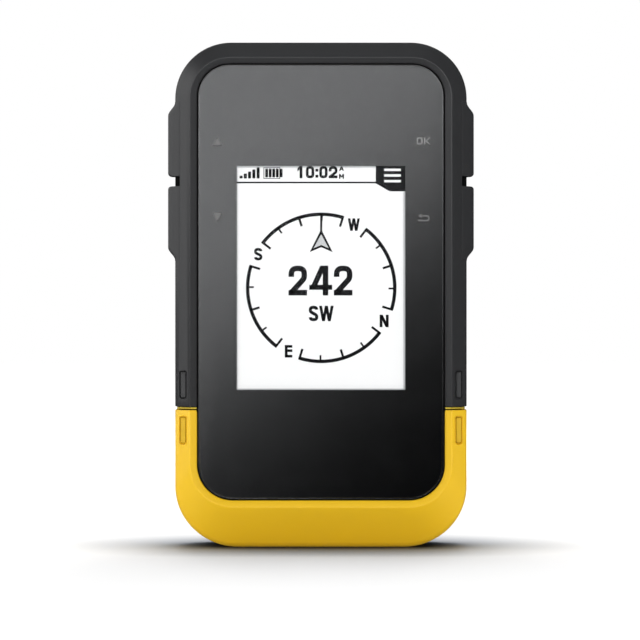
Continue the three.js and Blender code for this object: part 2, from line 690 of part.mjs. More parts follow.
place(housing, "display_bracket", displayBracket(), MATERIAL.inner);
place(housing, "display_flex", displayFlex(), MATERIAL.flex);
place(housing, "main_board", mainBoard(), MATERIAL.board);
place(housing, "shield_can_processor", shieldCan([-14, 10], [44, 70], 1.8), MATERIAL.steel);
place(housing, "shield_can_radio", shieldCan([-12, 12], [79, 91.5], 1.8), MATERIAL.steel);
place(housing, "gps_antenna", block([-6, 6], [-14, BOARD_FACE - 0.1], [82.9, 94.9]), MATERIAL.ceramic);
place(housing, "beeper", bar("y", 4.7, [-12.1, BOARD_FACE - 0.1], [0, 17.4], 4.7, 24), MATERIAL.brass);

const KEY_NAMES = { upper: { "-1": "up", 1: "ok" }, lower: { "-1": "down", 1: "back" } };
for (const side of [-1, 1]) {
  for (const key of KEYS) {
    const name = KEY_NAMES[key.row][side];
    place(housing, `switch_${name}`, sideSwitch(key, side), MATERIAL.steel);
    place(body(), `key_${name}`, sideKey(key, side), MATERIAL.rubber);
  }
}
place(housing, "switch_power", powerSwitch(), MATERIAL.steel);
place(body(), "key_power", powerKey(), MATERIAL.rubber);

const usbBoard = block([-7.5, 7.5], [USB_BOARD_BACK - 1, USB_BOARD_BACK], [82.5, 93]);
place(housing, "usb_board", usbBoard, MATERIAL.board);
place(housing, "usb_port", usbPort(), MATERIAL.steel);
for (const [name, x, way] of [
  ["left", -CELL_X, 1],
  ["right", CELL_X, -1],
]) {
  place(housing, `battery_${name}`, cell(x, way), MATERIAL.sleeve);
  place(housing, `cell_spring_${name}`, cellSpring(x, way), MATERIAL.steel);
  place(housing, `cell_contact_${name}`, cellContact(x, way), MATERIAL.brass);
}
SCREW_PLACES.forEach((at, i) => place(housing, `case_screw_${i + 1}`, caseScrew(at), MATERIAL.steel));

const cover = body();
place(cover, "battery_cover", batteryCover(), MATERIAL.housing);
const seal = { half: 18.4, low: 17.7, high: 78, rTop: 3, rLow: 3 };
place(cover, "cover_gasket", ring(seal, 1.4, [LEDGE_BACK + 0.15, COVER_INNER - 0.1], 4), MATERIAL.rubber);
place(cover, "mounting_rail", mountingRail(), MATERIAL.inner);
RAIL_SCREWS.forEach((z, i) => place(cover, `rail_screw_${i + 1}`, railScrew(z), MATERIAL.steel));

const latch = body();
place(latch, "latch_barrel", latchBarrel(), MATERIAL.steel);
place(latch, "latch_tongue", latchTongue(), MATERIAL.steel);
const washer = bar("y", 4, [6.3, 6.9], [0, LATCH_Z]).subtract(bar("y", 2.75, [6, 8], [0, LATCH_Z]));
place(latch, "latch_washer", washer, MATERIAL.steel);
const nutHole = bar("y", 1.65, [2, 4], [0, LATCH_Z], 1.65, 16);
const nut = bar("y", 2.9, [2.3, 3.1], [0, LATCH_Z], 2.9, 6).subtract(nutHole);
place(latch, "latch_nut", nut, MATERIAL.steel);
place(body(), "latch_ring", latchRing(), MATERIAL.steel);
place(body(), "weather_cap", weatherCap(), MATERIAL.rubber);

export default model;
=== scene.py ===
"""Looks of a handheld satellite navigation receiver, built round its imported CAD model.

Millimetres are used for every dimension below and turned into metres where a mesh is made.
The display faces -Y, +X is to the viewer's right and +Z is up.
"""

import json
import math

import bmesh
import bpy
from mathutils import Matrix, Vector


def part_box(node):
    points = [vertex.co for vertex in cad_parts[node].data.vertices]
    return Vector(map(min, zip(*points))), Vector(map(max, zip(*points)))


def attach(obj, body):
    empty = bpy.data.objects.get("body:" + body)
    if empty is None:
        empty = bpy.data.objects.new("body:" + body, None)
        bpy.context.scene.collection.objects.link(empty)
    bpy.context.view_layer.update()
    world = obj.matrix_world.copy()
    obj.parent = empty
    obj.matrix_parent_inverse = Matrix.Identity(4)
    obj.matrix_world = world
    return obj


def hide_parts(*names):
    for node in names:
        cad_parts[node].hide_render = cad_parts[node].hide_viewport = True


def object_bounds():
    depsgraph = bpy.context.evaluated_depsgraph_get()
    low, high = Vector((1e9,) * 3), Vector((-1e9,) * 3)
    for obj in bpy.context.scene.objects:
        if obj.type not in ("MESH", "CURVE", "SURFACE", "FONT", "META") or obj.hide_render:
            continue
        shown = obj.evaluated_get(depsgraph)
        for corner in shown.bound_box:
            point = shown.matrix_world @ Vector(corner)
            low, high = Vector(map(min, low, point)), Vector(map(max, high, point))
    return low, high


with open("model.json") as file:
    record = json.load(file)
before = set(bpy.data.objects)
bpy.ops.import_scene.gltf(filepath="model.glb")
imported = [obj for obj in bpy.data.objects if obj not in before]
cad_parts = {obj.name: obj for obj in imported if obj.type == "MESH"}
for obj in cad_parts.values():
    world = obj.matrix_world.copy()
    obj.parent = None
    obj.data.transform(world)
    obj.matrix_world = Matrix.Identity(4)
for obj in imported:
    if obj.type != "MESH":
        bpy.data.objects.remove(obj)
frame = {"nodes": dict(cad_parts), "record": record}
CAD_LOW, CAD_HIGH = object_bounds()
scene = bpy.context.scene
MM = 0.001

# -------------------- dimensions, as in the CAD source
FRONT, BACK = CAD_LOW.y / MM, 11.0
PARTING, GAP = -2.0, 0.3
BODY = {"half": 29.4, "low": 0, "high": 102, "top": 11.3, "bottom": 12.6}
CREST = {"half": 26.3, "low": 8.4, "high": 98.75, "top": 8.1, "bottom": 8.6}
OPENING = {"half": 24.9, "low": 9.8, "high": 97.55, "top": 6.6, "bottom": 7.2}
LENS = {"half": 24.6, "low": 10.1, "high": 97.25, "top": 6.3, "bottom": 6.9}
LEDGE = {"half": 22.3, "low": 12.4, "high": 95.2, "top": 4.6, "bottom": 5}
DOOR = {"half": 22.4, "low": 2.6, "high": 79.6, "top": 4, "bottom": 8}
SIDE_SLOPE, CHIN_SLOPE = 3.5, 8.0
CROWN_START, CROWN_INSET, HEEL_RADIUS = 0.5, 11.0, 4.0
SEAM_LOW, SEAM_HIGH, SEAM_STEP = 27.95, 28.62, 0.35
POCKETS = ((30.15, 35.85), (21.0, 26.7))  # ends of the shallow pockets above and below the seam
POCKET_X, POCKET_HALF, POCKET_FLOOR = 27.75, 0.78, -13.6
KEYS = {"upper": (75.05, 90.0, 1), "lower": (58.0, 73.0, -1)}  # low, high, end that ramps
KEY_FRONT, KEY_REAR, KEY_OUT, KEY_SEAT, KEY_GAP = -14.15, -5.4, 30.9, 28.0, 0.02
NOTCH_FLOOR = -12.4  # depth of the notch between the two keys of a side
LENS_FACE, LENS_BACK, LENS_SEAT = -15.8, -14.8, -14.4
WINDOW = (16.95, 32.0, 77.0)
PAGE_SCALE, PAGE_MIDDLE = 0.994, 46.0  # of the screen's page and the key marks
SPREAD, SQUARE = 0.06, 0.72  # how far ink spreads past a stroke's edge, and the squareness of figures
LATCH_Z, DISH_FLOOR, RING_Y = 11.6, 8.4, 9.75
PORT_Z, POWER_Y, POWER_RADIUS, POWER_REACH = 88.0, -7.4, 2.1, 3.4
CORNER = 22  # segments in a quarter of a big outline


# -------------------- mesh helpers
def inset(o, by):
    return {
        "half": o["half"] - by,
        "low": o["low"] + by,
        "high": o["high"] - by,
        "top": max(0.3, o["top"] - by),
        "bottom": max(0.3, o["bottom"] - by),
    }


def pill(x, low, high, half):
    return {"x": x, "half": half, "low": low, "high": high, "top": half - 0.001, "bottom": half - 0.001}


def rounded(o, steps=CORNER):
    """(x, z, down) round a rounded rectangle; down is 1 along the bottom and 0 elsewhere."""
    cx, half, low, high, top, bottom = o.get("x", 0), o["half"], o["low"], o["high"], o["top"], o["bottom"]
    corners = [
        (half - bottom, low + bottom, bottom, -90),
        (half - top, high - top, top, 0),
        (top - half, high - top, top, 90),
        (bottom - half, low + bottom, bottom, 180),
    ]
    found = []
    for x, z, r, start in corners:
        for i in range(steps + 1):
            a = math.radians(start + 90 * i / steps)
            found.append((cx + x + r * math.cos(a), z + r * math.sin(a), max(0.0, -math.sin(a)) ** 2))
    return found


def level(o, y, steps=CORNER):
    """The ring of points of an outline that stands upright at one depth."""
    return [(x, y, z) for x, z, _ in rounded(o, steps)]


def loft(rings, wrap=False):
    """A closed surface through rings of (x, y, z) points, with flat ends or joined end to end."""
    bm = bmesh.new()
    rows = [[bm.verts.new(Vector(p) * MM) for p in ring] for ring in rings]
    for a, b in zip(rows, rows[1:] + (rows[:1] if wrap else [])):
        for i in range(len(a)):
            j = (i + 1) % len(a)
            bm.faces.new((a[i], a[j], b[j], b[i]))
    if not wrap:
        bm.faces.new(list(reversed(rows[0])))
        bm.faces.new(rows[-1])
    bmesh.ops.recalc_face_normals(bm, faces=bm.faces)
    return bm


def lathe(profile, at, axis="y", steps=48):
    """A turned solid from (radius, height) pairs; at holds the axis's place in the other two directions."""
    rings = []
    for r, h in profile:
        ring = []
        for i in range(steps):
            a = 2 * math.pi * i / steps
            u, v = at[0] + r * math.cos(a), at[1] + r * math.sin(a)
            ring.append({"y": (u, h, v), "z": (u, v, h), "x": (h, u, v)}[axis])
        rings.append(ring)
    return loft(rings)


def bead(radius, y0, y1, edge0, edge1):
    """Profile of a round disc between two heights with a rounded edge at each end."""
    found = []
    for i in range(5):
        a = math.pi / 2 * i / 4
        found.append((radius - edge0 * (1 - math.sin(a)), y0 + edge0 * (1 - math.cos(a))))
    for i in range(5):
        a = math.pi / 2 * i / 4
        found.append((radius - edge1 * (1 - math.cos(a)), y1 - edge1 * (1 - math.sin(a))))
    return found


def slab(o, y0, y1, front=0.0, back=0.0, steps=8, turns=4):
    """A plate with the outline o between two depths, with its front and back edges rounded."""
    rows = []
    for i in range(turns + 1 if front else 1):
        a = math.pi / 2 * i / turns
        rows.append((front * (1 - math.sin(a)), y0 + front * (1 - math.cos(a))))
    for i in range(turns + 1 if back else 1):
        a = math.pi / 2 * i / turns
        rows.append((back * (1 - math.cos(a)), y1 - back * (1 - math.sin(a))))
    return loft([level(inset_pill(o, by), y, steps) for by, y in rows])


def inset_pill(o, by):
    """Like inset, for small outlines whose corners may close to half circles."""
    moved = inset(o, by)
    moved["x"] = o.get("x", 0)
    moved["top"] = max(0.02, min(o["top"] - by, moved["half"] - 0.001))
    moved["bottom"] = max(0.02, min(o["bottom"] - by, moved["half"] - 0.001))
    return moved


def brick(x, y, z):
    bm = bmesh.new()
    bmesh.ops.create_cube(bm, size=1)
    for v in bm.verts:
        v.co = Vector([span[c > 0] * MM for c, span in zip(v.co, (x, y, z))])
    return bm


def plain(name, bm):
    mesh = bpy.data.meshes.new(name)
    bm.to_mesh(mesh)
    bm.free()
    made = bpy.data.objects.new(name, mesh)
    scene.collection.objects.link(made)
    return made


def boolean(obj, bm, operation="DIFFERENCE"):
    """Joins to an object, or cuts from it, one closed mesh or several that don't touch."""
    tool = plain("tool", bm)
    modifier = obj.modifiers.new("cut", "BOOLEAN")
    modifier.object, modifier.operation, modifier.solver = tool, operation, "EXACT"
    result = bpy.data.meshes.new_from_object(obj.evaluated_get(bpy.context.evaluated_depsgraph_get()))
    obj.modifiers.clear()
    old = obj.data
    obj.data = result
    bpy.data.meshes.remove(old)
    bpy.data.objects.remove(tool)


def piece(obj, body, slot, material, replaced=(), angle=30):
    """Finishes an object: smooth shading, material, body and the CAD nodes it stands for. The slot argument
    is not used.
    """
    obj.data.materials.clear()
    for polygon in obj.data.polygons:
        polygon.use_smooth = True
    obj.data.set_sharp_from_angle(angle=math.radians(angle))
    obj.data.materials.append(material)
    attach(obj, body)
    if replaced:
        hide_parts(*replaced)


# -------------------- materials
def node(tree, kind, **values):
    made = tree.nodes.new(kind)
    for key, value in values.items():
        if key in made.inputs:
            made.inputs[key].default_value = value
        else:
            setattr(made, key, value)
    return made


def start(name):
    mat = bpy.data.materials.new(name)
    mat.use_nodes = True
    tree = mat.node_tree
    return mat, tree, tree.nodes["Principled BSDF"]


def math_node(tree, operation, a, b=None, clamp=False):
    made = tree.nodes.new("ShaderNodeMath")
    made.operation, made.use_clamp = operation, clamp
    for socket, value in zip(made.inputs, (a, b)):
        if value is None:
            continue
        if isinstance(value, (int, float)):
            socket.default_value = value
        else:
            tree.links.new(value, socket)
    return made.outputs[0]


def noise(tree, scale, detail=2.0, roughness=0.5, stretch=None):
    coords = tree.nodes.new("ShaderNodeTexCoord").outputs["Object"]
    if stretch:
        mapping = node(tree, "ShaderNodeMapping", Scale=stretch)
        tree.links.new(coords, mapping.inputs["Vector"])
        coords = mapping.outputs[0]
    made = node(tree, "ShaderNodeTexNoise", Scale=scale, Detail=detail, Roughness=roughness)
    tree.links.new(coords, made.inputs["Vector"])
    return made.outputs["Fac"]


def between(tree, factor, low, high, start_at=0.0, end_at=1.0, way="LINEAR"):
    """factor from start_at to end_at turned into low to high."""
    made = node(tree, "ShaderNodeMapRange", interpolation_type=way)
    for name, value in (("From Min", start_at), ("From Max", end_at), ("To Min", low), ("To Max", high)):
        made.inputs[name].default_value = value
    tree.links.new(factor, made.inputs["Value"])
    return made.outputs[0]


def mixed(tree, low, high, factor):
    """A colour that a factor moves from low to high."""
    made = node(tree, "ShaderNodeMix", data_type="RGBA", blend_type="MIX")
    made.inputs["A"].default_value, made.inputs["B"].default_value = (*low, 1), (*high, 1)
    tree.links.new(factor, made.inputs["Factor"])
    return made.outputs["Result"]


def mix_shaders(tree, factor, first, second):
    made = tree.nodes.new("ShaderNodeMixShader")
    for source, socket in zip((factor, first, second), made.inputs):
        tree.links.new(source, socket)
    return made.outputs[0]


def moulded(name, colour, rough, grain, bump, edge=0.18, wear_and_highlight=0.35, specular=0.5, spread=0.06):
    """Moulded plastic or rubber: a fine grained surface, slight unevenness and polished edges, whose lighter
    colour is partly wear and partly a painted highlight.
    """
    mat, tree, shader = start(name)
    link = tree.links.new
    fine = noise(tree, grain, 2.0, 0.6)
    pitted = noise(tree, grain * 3.1, 1.0)
    bevel = node(tree, "ShaderNodeBevel", samples=4, Radius=edge * MM)
    geometry = tree.nodes.new("ShaderNodeNewGeometry")
    dot = node(tree, "ShaderNodeVectorMath", operation="DOT_PRODUCT")
    link(bevel.outputs[0], dot.inputs[0])
    link(geometry.outputs["Normal"], dot.inputs[1])
    # Share of edge from the bevel: worn edges, whose lightening below is partly a painted highlight.
    worn_and_highlit = math_node(tree, "SUBTRACT", 1.0, dot.outputs["Value"])
    worn_and_highlit = math_node(tree, "MULTIPLY", worn_and_highlit, 4.0, True)
    worn_and_highlit = math_node(tree, "MULTIPLY", worn_and_highlit, between(tree, noise(tree, 420, 3.0), 0.3, 1.0))
    darker, lighter = [c * (1 - spread) for c in colour], [min(1, c * (1 + spread) + 0.002) for c in colour]
    # Edges are lightened in colour: partly wear, partly a painted highlight along them.
    lighten = node(tree, "ShaderNodeMix", data_type="RGBA", blend_type="MIX")
    link(mixed(tree, darker, lighter, noise(tree, 90, 3.0)), lighten.inputs["A"])
    lighten.inputs["B"].default_value = (*[min(1, c * 1.3 + 0.02) for c in colour], 1)
    link(math_node(tree, "MULTIPLY", worn_and_highlit, wear_and_highlight), lighten.inputs["Factor"])
    link(lighten.outputs["Result"], shader.inputs["Base Color"])
    roughness = between(tree, fine, rough - 0.05, rough + 0.07)
    roughness = math_node(tree, "SUBTRACT", roughness, math_node(tree, "MULTIPLY", worn_and_highlit, 0.08))
    link(roughness, shader.inputs["Roughness"])
    relief = math_node(tree, "ADD", fine, math_node(tree, "MULTIPLY", pitted, 0.5))
    bumped = node(tree, "ShaderNodeBump", Strength=0.5, Distance=bump * MM)
    link(relief, bumped.inputs["Height"])
    link(bevel.outputs[0], bumped.inputs["Normal"])
    link(bumped.outputs[0], shader.inputs["Normal"])
    shader.inputs["Specular IOR Level"].default_value = specular
    return mat


def metal(name, colour, rough=0.3, metallic=1.0):
    """Metal with fine lines drawn across one axis and a little tarnish."""
    mat, tree, shader = start(name)
    link = tree.links.new
    lines = noise(tree, 1400, 3.0, 0.7, (1, 1, 30))
    tone = mixed(tree, [c * 0.8 for c in colour], colour, noise(tree, 260, 3.0))
    link(tone, shader.inputs["Base Color"])
    shader.inputs["Metallic"].default_value = metallic
    link(between(tree, lines, rough - 0.08, rough + 0.14), shader.inputs["Roughness"])
    bumped = node(tree, "ShaderNodeBump", Strength=0.4, Distance=0.004 * MM)
    link(lines, bumped.inputs["Height"])
    bevel = node(tree, "ShaderNodeBevel", samples=4, Radius=0.1 * MM)
    link(bevel.outputs[0], bumped.inputs["Normal"])
    link(bumped.outputs[0], shader.inputs["Normal"])
    return mat


def clear_lens(name):
    """Clear plate with an anti-glare coat: see-through, with a weak reflection."""
    mat, tree, shader = start(name)
    tree.nodes.remove(shader)
    link = tree.links.new
    through = node(tree, "ShaderNodeBsdfTransparent", Color=(0.97, 0.975, 0.98, 1))
    gloss = node(tree, "ShaderNodeBsdfGlossy", Color=(1, 1, 1, 1))
    link(between(tree, noise(tree, 70, 4.0, 0.6), 0.05, 0.09), gloss.inputs["Roughness"])
    fresnel = node(tree, "ShaderNodeFresnel", IOR=1.45)
    share = math_node(tree, "MULTIPLY", fresnel.outputs[0], 0.06)
    surface = mix_shaders(tree, share, through.outputs[0], gloss.outputs[0])
    link(surface, tree.nodes["Material Output"].inputs["Surface"])
    return mat


def printed(name, colour, rough=0.5, glow=0.0, spread=0.05, scale=300, bump=0.002, specular=0.5):
    """Printed film, ink or paper: even colour with a faint mottle."""
    mat, tree, shader = start(name)
    link = tree.links.new
    tone = mixed(tree, [c * (1 - spread) for c in colour], colour, noise(tree, scale, 3.0))
    link(tone, shader.inputs["Base Color"])
    link(between(tree, noise(tree, scale * 4, 2.0), rough - 0.04, rough + 0.06), shader.inputs["Roughness"])
    if bump:
        bumped = node(tree, "ShaderNodeBump", Strength=0.2, Distance=bump * MM)
        link(noise(tree, 5000, 2.0), bumped.inputs["Height"])
        link(bumped.outputs[0], shader.inputs["Normal"])
    shader.inputs["Specular IOR Level"].default_value = specular
    if glow:
        shader.inputs["Emission Color"].default_value = (*colour, 1)
        shader.inputs["Emission Strength"].default_value = glow
    return mat


DARK, BLACK = (0.0225, 0.023, 0.0248), (0.002, 0.002, 0.0022)
MATERIALS = {
    "housing_dark": moulded("housing_dark", DARK, 0.42, 2600, 0.012, 0.1, 0.12),
    "cover_dark": moulded("cover_dark", (0.016, 0.0163, 0.0172), 0.5, 2000, 0.03, 0.25),
    "cap_yellow": moulded("cap_yellow", (0.85, 0.52, 0.006), 0.4, 2600, 0.01, 0.2, 0.1, 0.4, 0.02),
    "key_rubber": moulded("key_rubber", DARK, 0.44, 3200, 0.012, 0.06, 0.1),
    "gasket_rubber": moulded("gasket_rubber", (0.006, 0.006, 0.006), 0.6, 3000, 0.01, 0.1),
    "lens_clear": clear_lens("lens_clear"),
    "mask_black": printed("mask_black", BLACK, 0.07, 0.0, 0.05, 60, 0.0),
    "display_glass": printed("display_glass", (0.875, 0.865, 0.85), 0.5, 0.12, 0.01, 900),
    "light_guide": printed("light_guide", (0.85, 0.86, 0.86)),
    "inner_plastic": moulded("inner_plastic", (0.011, 0.011, 0.012), 0.45, 2400, 0.02, 0.2),
    "circuit_board": printed("circuit_board", (0.012, 0.085, 0.035), 0.35, 0.0, 0.5, 700),
    "ribbon": printed("ribbon", (0.42, 0.15, 0.02), 0.35, 0.0, 0.3),
    "plated_steel": metal("plated_steel", (0.6, 0.61, 0.63)),
    "latch_steel": metal("latch_steel", (0.42, 0.425, 0.44), 0.34, 0.6),
    "contact_brass": metal("contact_brass", (0.62, 0.42, 0.12)),
    "antenna_ceramic": printed("antenna_ceramic", (0.66, 0.58, 0.43), 0.6, 0.0, 0.2, 500),
    "cell_sleeve": printed("cell_sleeve", (0.045, 0.15, 0.26), 0.3, 0.0, 0.25, 200),
}
# Looks of single pieces that differ from their slot's own material.
RIM_BLACK = printed("rim_black", BLACK, 0.08, 0.0, 0.05, 60, 0.0, 0.75)
SHADOW_RUBBER = printed("shadow_rubber", (0.0025, 0.0025, 0.0025), 0.8, specular=0.1)
# A thin olive line of painted shadow round the floors of the yellow pockets.
GROOVE_SHADOW_OLIVE = printed("groove_painted_shadow", (0.2, 0.12, 0.004), 0.8, specular=0.1)
# The cap's yellow made darker and duller for its tongue in the seam: painted shade of the groove.
TONGUE_SHADE_YELLOW = moulded("tongue_painted_shade", (0.53, 0.4, 0.03), 0.5, 2600, 0.01, 0.05, 0.1, 0.3, 0.02)
# Floors of the yellow pockets, darker than the cap: painted shade of the recess.
POCKET_SHADE_YELLOW = moulded("pocket_shade_yellow", (0.66, 0.46, 0.008), 0.5, 2600, 0.01, 0.1, 0.1, 0.3, 0.02)
INK = printed("screen_ink", (0.008, 0.008, 0.009), 0.7, specular=0.05)
GREY_INK = printed("screen_grey", (0.53, 0.53, 0.53), 0.6, 0.12)
ARROW_INK = printed("arrow_grey", (0.16, 0.16, 0.16), 0.6, specular=0.1)
LETTER_INK = printed("letter_grey", (0.27, 0.27, 0.27), 0.6, specular=0.1)
# Floors of the dark pockets, darker than the housing: painted shade of the recess.
POCKET_SHADE_DARK = moulded("pocket_shade_dark", (0.0175, 0.018, 0.0193), 0.44, 2600, 0.012, 0.1, 0.12)


# -------------------- front half
def lerp(a, b, t):
    return a + (b - a) * t


def front_ring(by=0.0):
    """The whole front moulding as a ring: rim, sloping band, side wall and inside."""
    opening, crest, edge = rounded(OPENING), rounded(inset(CREST, by)), rounded(inset(BODY, by))
    face = FRONT + by

    def slope(i):
        return lerp(SIDE_SLOPE, CHIN_SLOPE, edge[i][2])

    def at(p, depth):
        """p runs 0 at the opening, 1 at the crest and 2 at the outer edge; depth(i) is y."""
        a, b, t = (opening, crest, p) if p <= 1 else (crest, edge, p - 1)
        return [(lerp(a[i][0], b[i][0], t), depth(i), lerp(a[i][1], b[i][1], t)) for i in range(len(a))]

    def band(share, fall=0.0):
        return at(1 + share, lambda i: face + slope(i) * share + fall)

    rim_low = FRONT + 0.8  # depth of the rim's edge beside the lens
    rows = [at(0, lambda i: LENS_SEAT)]
    for p, fall in ((0, 0.15), (0.02, 0.05), (0.07, -0.03)):
        rows.append(at(p, lambda i, y=rim_low + fall: y))
    rise = rim_low - face
    near, far = 0.12, 0.035  # how far the crest's rounding reaches, as shares of the rim and of the band
    for step in range(1, 4):
        p = lerp(0.07, 1 - near, step / 3)
        rows.append(at(p, lambda i, p=p: rim_low - rise * p))
    for step in range(1, 8):
        t = step / 7
        p = (1 - near) * (1 - t) ** 2 + 2 * t * (1 - t) + (1 + far) * t * t

        def depth(i, t=t):
            start_y, end_y = rim_low - rise * (1 - near), face + slope(i) * far
            return start_y * (1 - t) ** 2 + 2 * face * t * (1 - t) + end_y * t * t

        rows.append(at(p, depth))
    last = 0.86  # share of the band where its outer edge starts to round
    for share in (0.25, 0.45, 0.65, last):
        rows.append(band(share))
    for step in range(1, 9):
        a = math.pi / 2 * step / 8
        rows.append(band(last + (1 - last) * math.sin(a), 1 - math.cos(a)))
    for y in (-6.5, -4, PARTING - 0.12):
        rows.append([(x, y, z) for x, z, _ in edge])
    rows.append(level(inset(BODY, by + 0.12), PARTING))
    room = {"half": 27.4, "low": 2.2, "high": 100, "top": 9.3, "bottom": 10.4}
    for y, o in (
        (PARTING, room),
        (-7.8, room),
        (-13, {**room, "low": 7.4, "bottom": 8}),
        (-13.2, LEDGE),
        (LENS_SEAT, LEDGE),
    ):
        rows.append(level(o, y))
    return loft(rows, wrap=True)


def sliced(bm, low=None, high=None, soft=0.12):
    """Keeps a closed mesh between two heights, closes the cuts and rounds their edges."""
    for z, keep_above in ((low, True), (high, False)):
        if z is None:
            continue
        geometry = bm.verts[:] + bm.edges[:] + bm.faces[:]
        bmesh.ops.bisect_plane(
            bm,
            geom=geometry,
            plane_co=(0, 0, z * MM),
            plane_no=(0, 0, 1),
            clear_inner=keep_above,
            clear_outer=not keep_above,
        )
        rim = [e for e in bm.edges if e.is_boundary]
        bmesh.ops.holes_fill(bm, edges=rim, sides=0)
        if soft:
            bmesh.ops.bevel(bm, geom=rim, offset=soft * MM, segments=2, profile=0.5, affect="EDGES")
    bmesh.ops.recalc_face_normals(bm, faces=bm.faces)
    return bm


def pocket_outline(side, low, high, grow=0.0):
    return {
        "x": side * POCKET_X,
        "half": POCKET_HALF + grow,
        "low": low - grow,
        "high": high + grow,
        "top": 0.4 + grow,
        "bottom": 0.65 + grow,
    }


def pill_pocket(side, low, high):
    """Cutter of a shallow rounded pocket that narrows a little towards its floor."""
    rows = ((-17, 0.14), (-15.2, 0.03), (-13.9, -0.04), (-13.7, -0.1), (POCKET_FLOOR, -0.25))
    return loft([level(pocket_outline(side, low, high, grow), y, 8) for y, grow in rows])


def power_outline(radius, z):
    """The power key's outline in plan at one height: two half circles joined by straight sides."""
    ring = rounded(pill(0, POWER_Y - radius, POWER_Y + radius, radius), 10)
    return [(x + math.copysign(POWER_REACH, x), y, z) for x, y, _ in ring]


def make_front():
    """The dark frame with its openings, the yellow cap, and what shows between and inside them."""
    between_keys = KEYS["lower"][1], KEYS["upper"][0]
    cutters = []
    for side in (-1, 1):
        across = sorted((side * 26.4, side * 35))
        for low, high, _ in KEYS.values():
            depths, heights = (KEY_FRONT - KEY_GAP, KEY_REAR + KEY_GAP), (low - KEY_GAP, high + KEY_GAP)
            cutters.append(brick(across, depths, heights))
        notch = sorted((side * 28.4, side * 32))
        cutters.append(brick(notch, (-17, NOTCH_FLOOR), (between_keys[0] - 0.1, between_keys[1] + 0.1)))
        cutters.append(pill_pocket(side, *POCKETS[0]))
    cutters.append(loft([power_outline(POWER_RADIUS + 0.2, z) for z in (99.5, 103)]))
    made = plain("front_frame_shell", sliced(front_ring(), low=SEAM_HIGH))
    for cutter in cutters:
        boolean(made, cutter)
    piece(made, "housing", "housing_dark", MATERIALS["housing_dark"], ["front_frame"])

    made = plain("bottom_cap_shell", sliced(front_ring(), high=SEAM_LOW))
    for side in (-1, 1):
        boolean(made, pill_pocket(side, *POCKETS[1]))
    piece(made, "housing", "cap_yellow", MATERIALS["cap_yellow"], ["bottom_cap"])
    # The tongue sits recessed in the seam and gets the darker yellow as painted shade.
    tongue = sliced(front_ring(SEAM_STEP), SEAM_LOW + 0.22, SEAM_HIGH - 0.12, 0.05)
    piece(plain("bottom_cap_tongue", tongue), "housing", "cap_yellow", TONGUE_SHADE_YELLOW)
    # A near-black ring behind the seam stops light passing between the halves; in the gap it shows as
    # painted shade.
    backing = plain("seam_shadow_backing", sliced(front_ring(0.9), SEAM_LOW - 0.3, SEAM_HIGH + 0.3, 0.0))
    piece(backing, "housing", "gasket_rubber", SHADOW_RUBBER)
    rows = (("upper", "housing_dark", POCKET_SHADE_DARK, SHADOW_RUBBER), ("lower", "cap_yellow", POCKET_SHADE_YELLOW, GROOVE_SHADOW_OLIVE))
    for side, name in ((-1, "left"), (1, "right")):
        for (low, high), (row, slot, pad_shade_look, shadow_line_look) in zip(POCKETS, rows):
            # The pad on each pocket's floor is darker than its shell: painted shade of the recess.
            pad = slab(pocket_outline(side, low, high, -0.3), POCKET_FLOOR - 0.06, POCKET_FLOOR + 0.1)
            piece(plain(f"pocket_shaded_pad_{row}_{name}", pad), "housing", slot, pad_shade_look)
            # A thin dark ring round each pad: painted shadow at the edge of the pocket's floor.
            line = slab(pocket_outline(side, low, high, -0.1), POCKET_FLOOR - 0.03, POCKET_FLOOR + 0.08)
            piece(plain(f"pocket_shadow_line_{row}_{name}", line), "housing", slot, shadow_line_look)
        # A near-black pad on each notch's floor: painted shade in the recess between the keys.
        notch, depths = sorted((side * 28.45, side * 29.35)), (NOTCH_FLOOR - 0.06, NOTCH_FLOOR + 0.1)
        floor = brick(notch, depths, (between_keys[0] + 0.02, between_keys[1] - 0.02))
        piece(plain(f"notch_shadow_pad_{name}", floor), "housing", "gasket_rubber", SHADOW_RUBBER)


make_front()


# -------------------- side keys and power key
def smooth(t):
    t = max(0.0, min(1.0, t))
    return t * t * (3 - 2 * t)


def key_section(side, out):
    """Plan view of a side key whose outer face stands at x = out."""
    rise = SIDE_SLOPE / (BODY["half"] - CREST["half"])
    start_x = CREST["half"] + (KEY_FRONT - FRONT) / rise
    corner_x = max(start_x + 0.02, out - 0.45)
    corner_y = KEY_FRONT + (corner_x - start_x) * rise
    points = [(KEY_SEAT, KEY_FRONT), (lerp(KEY_SEAT, start_x, 0.9), KEY_FRONT)]
    points += [(lerp(start_x, corner_x, t), lerp(KEY_FRONT, corner_y, t)) for t in (0.04, 0.35, 0.7, 1)]
    for step in range(1, 7):
        a = math.pi / 2 * step / 6
        y = corner_y + 0.56 * math.sin(a) + 0.7 * (1 - math.cos(a))
        points.append((corner_x + (out - corner_x) * math.sin(a), y))
    ramp, lean = 2.6, out - (BODY["half"] + 0.05)
    points += [(out, KEY_REAR - 4), (out, KEY_REAR - ramp)]
    for step in range(1, 9):
        t = step / 8
        points.append((out - lean * smooth(t), KEY_REAR - ramp * (1 - t)))
    points.append((KEY_SEAT, KEY_REAR))
    return [(side * x, y) for x, y in points]


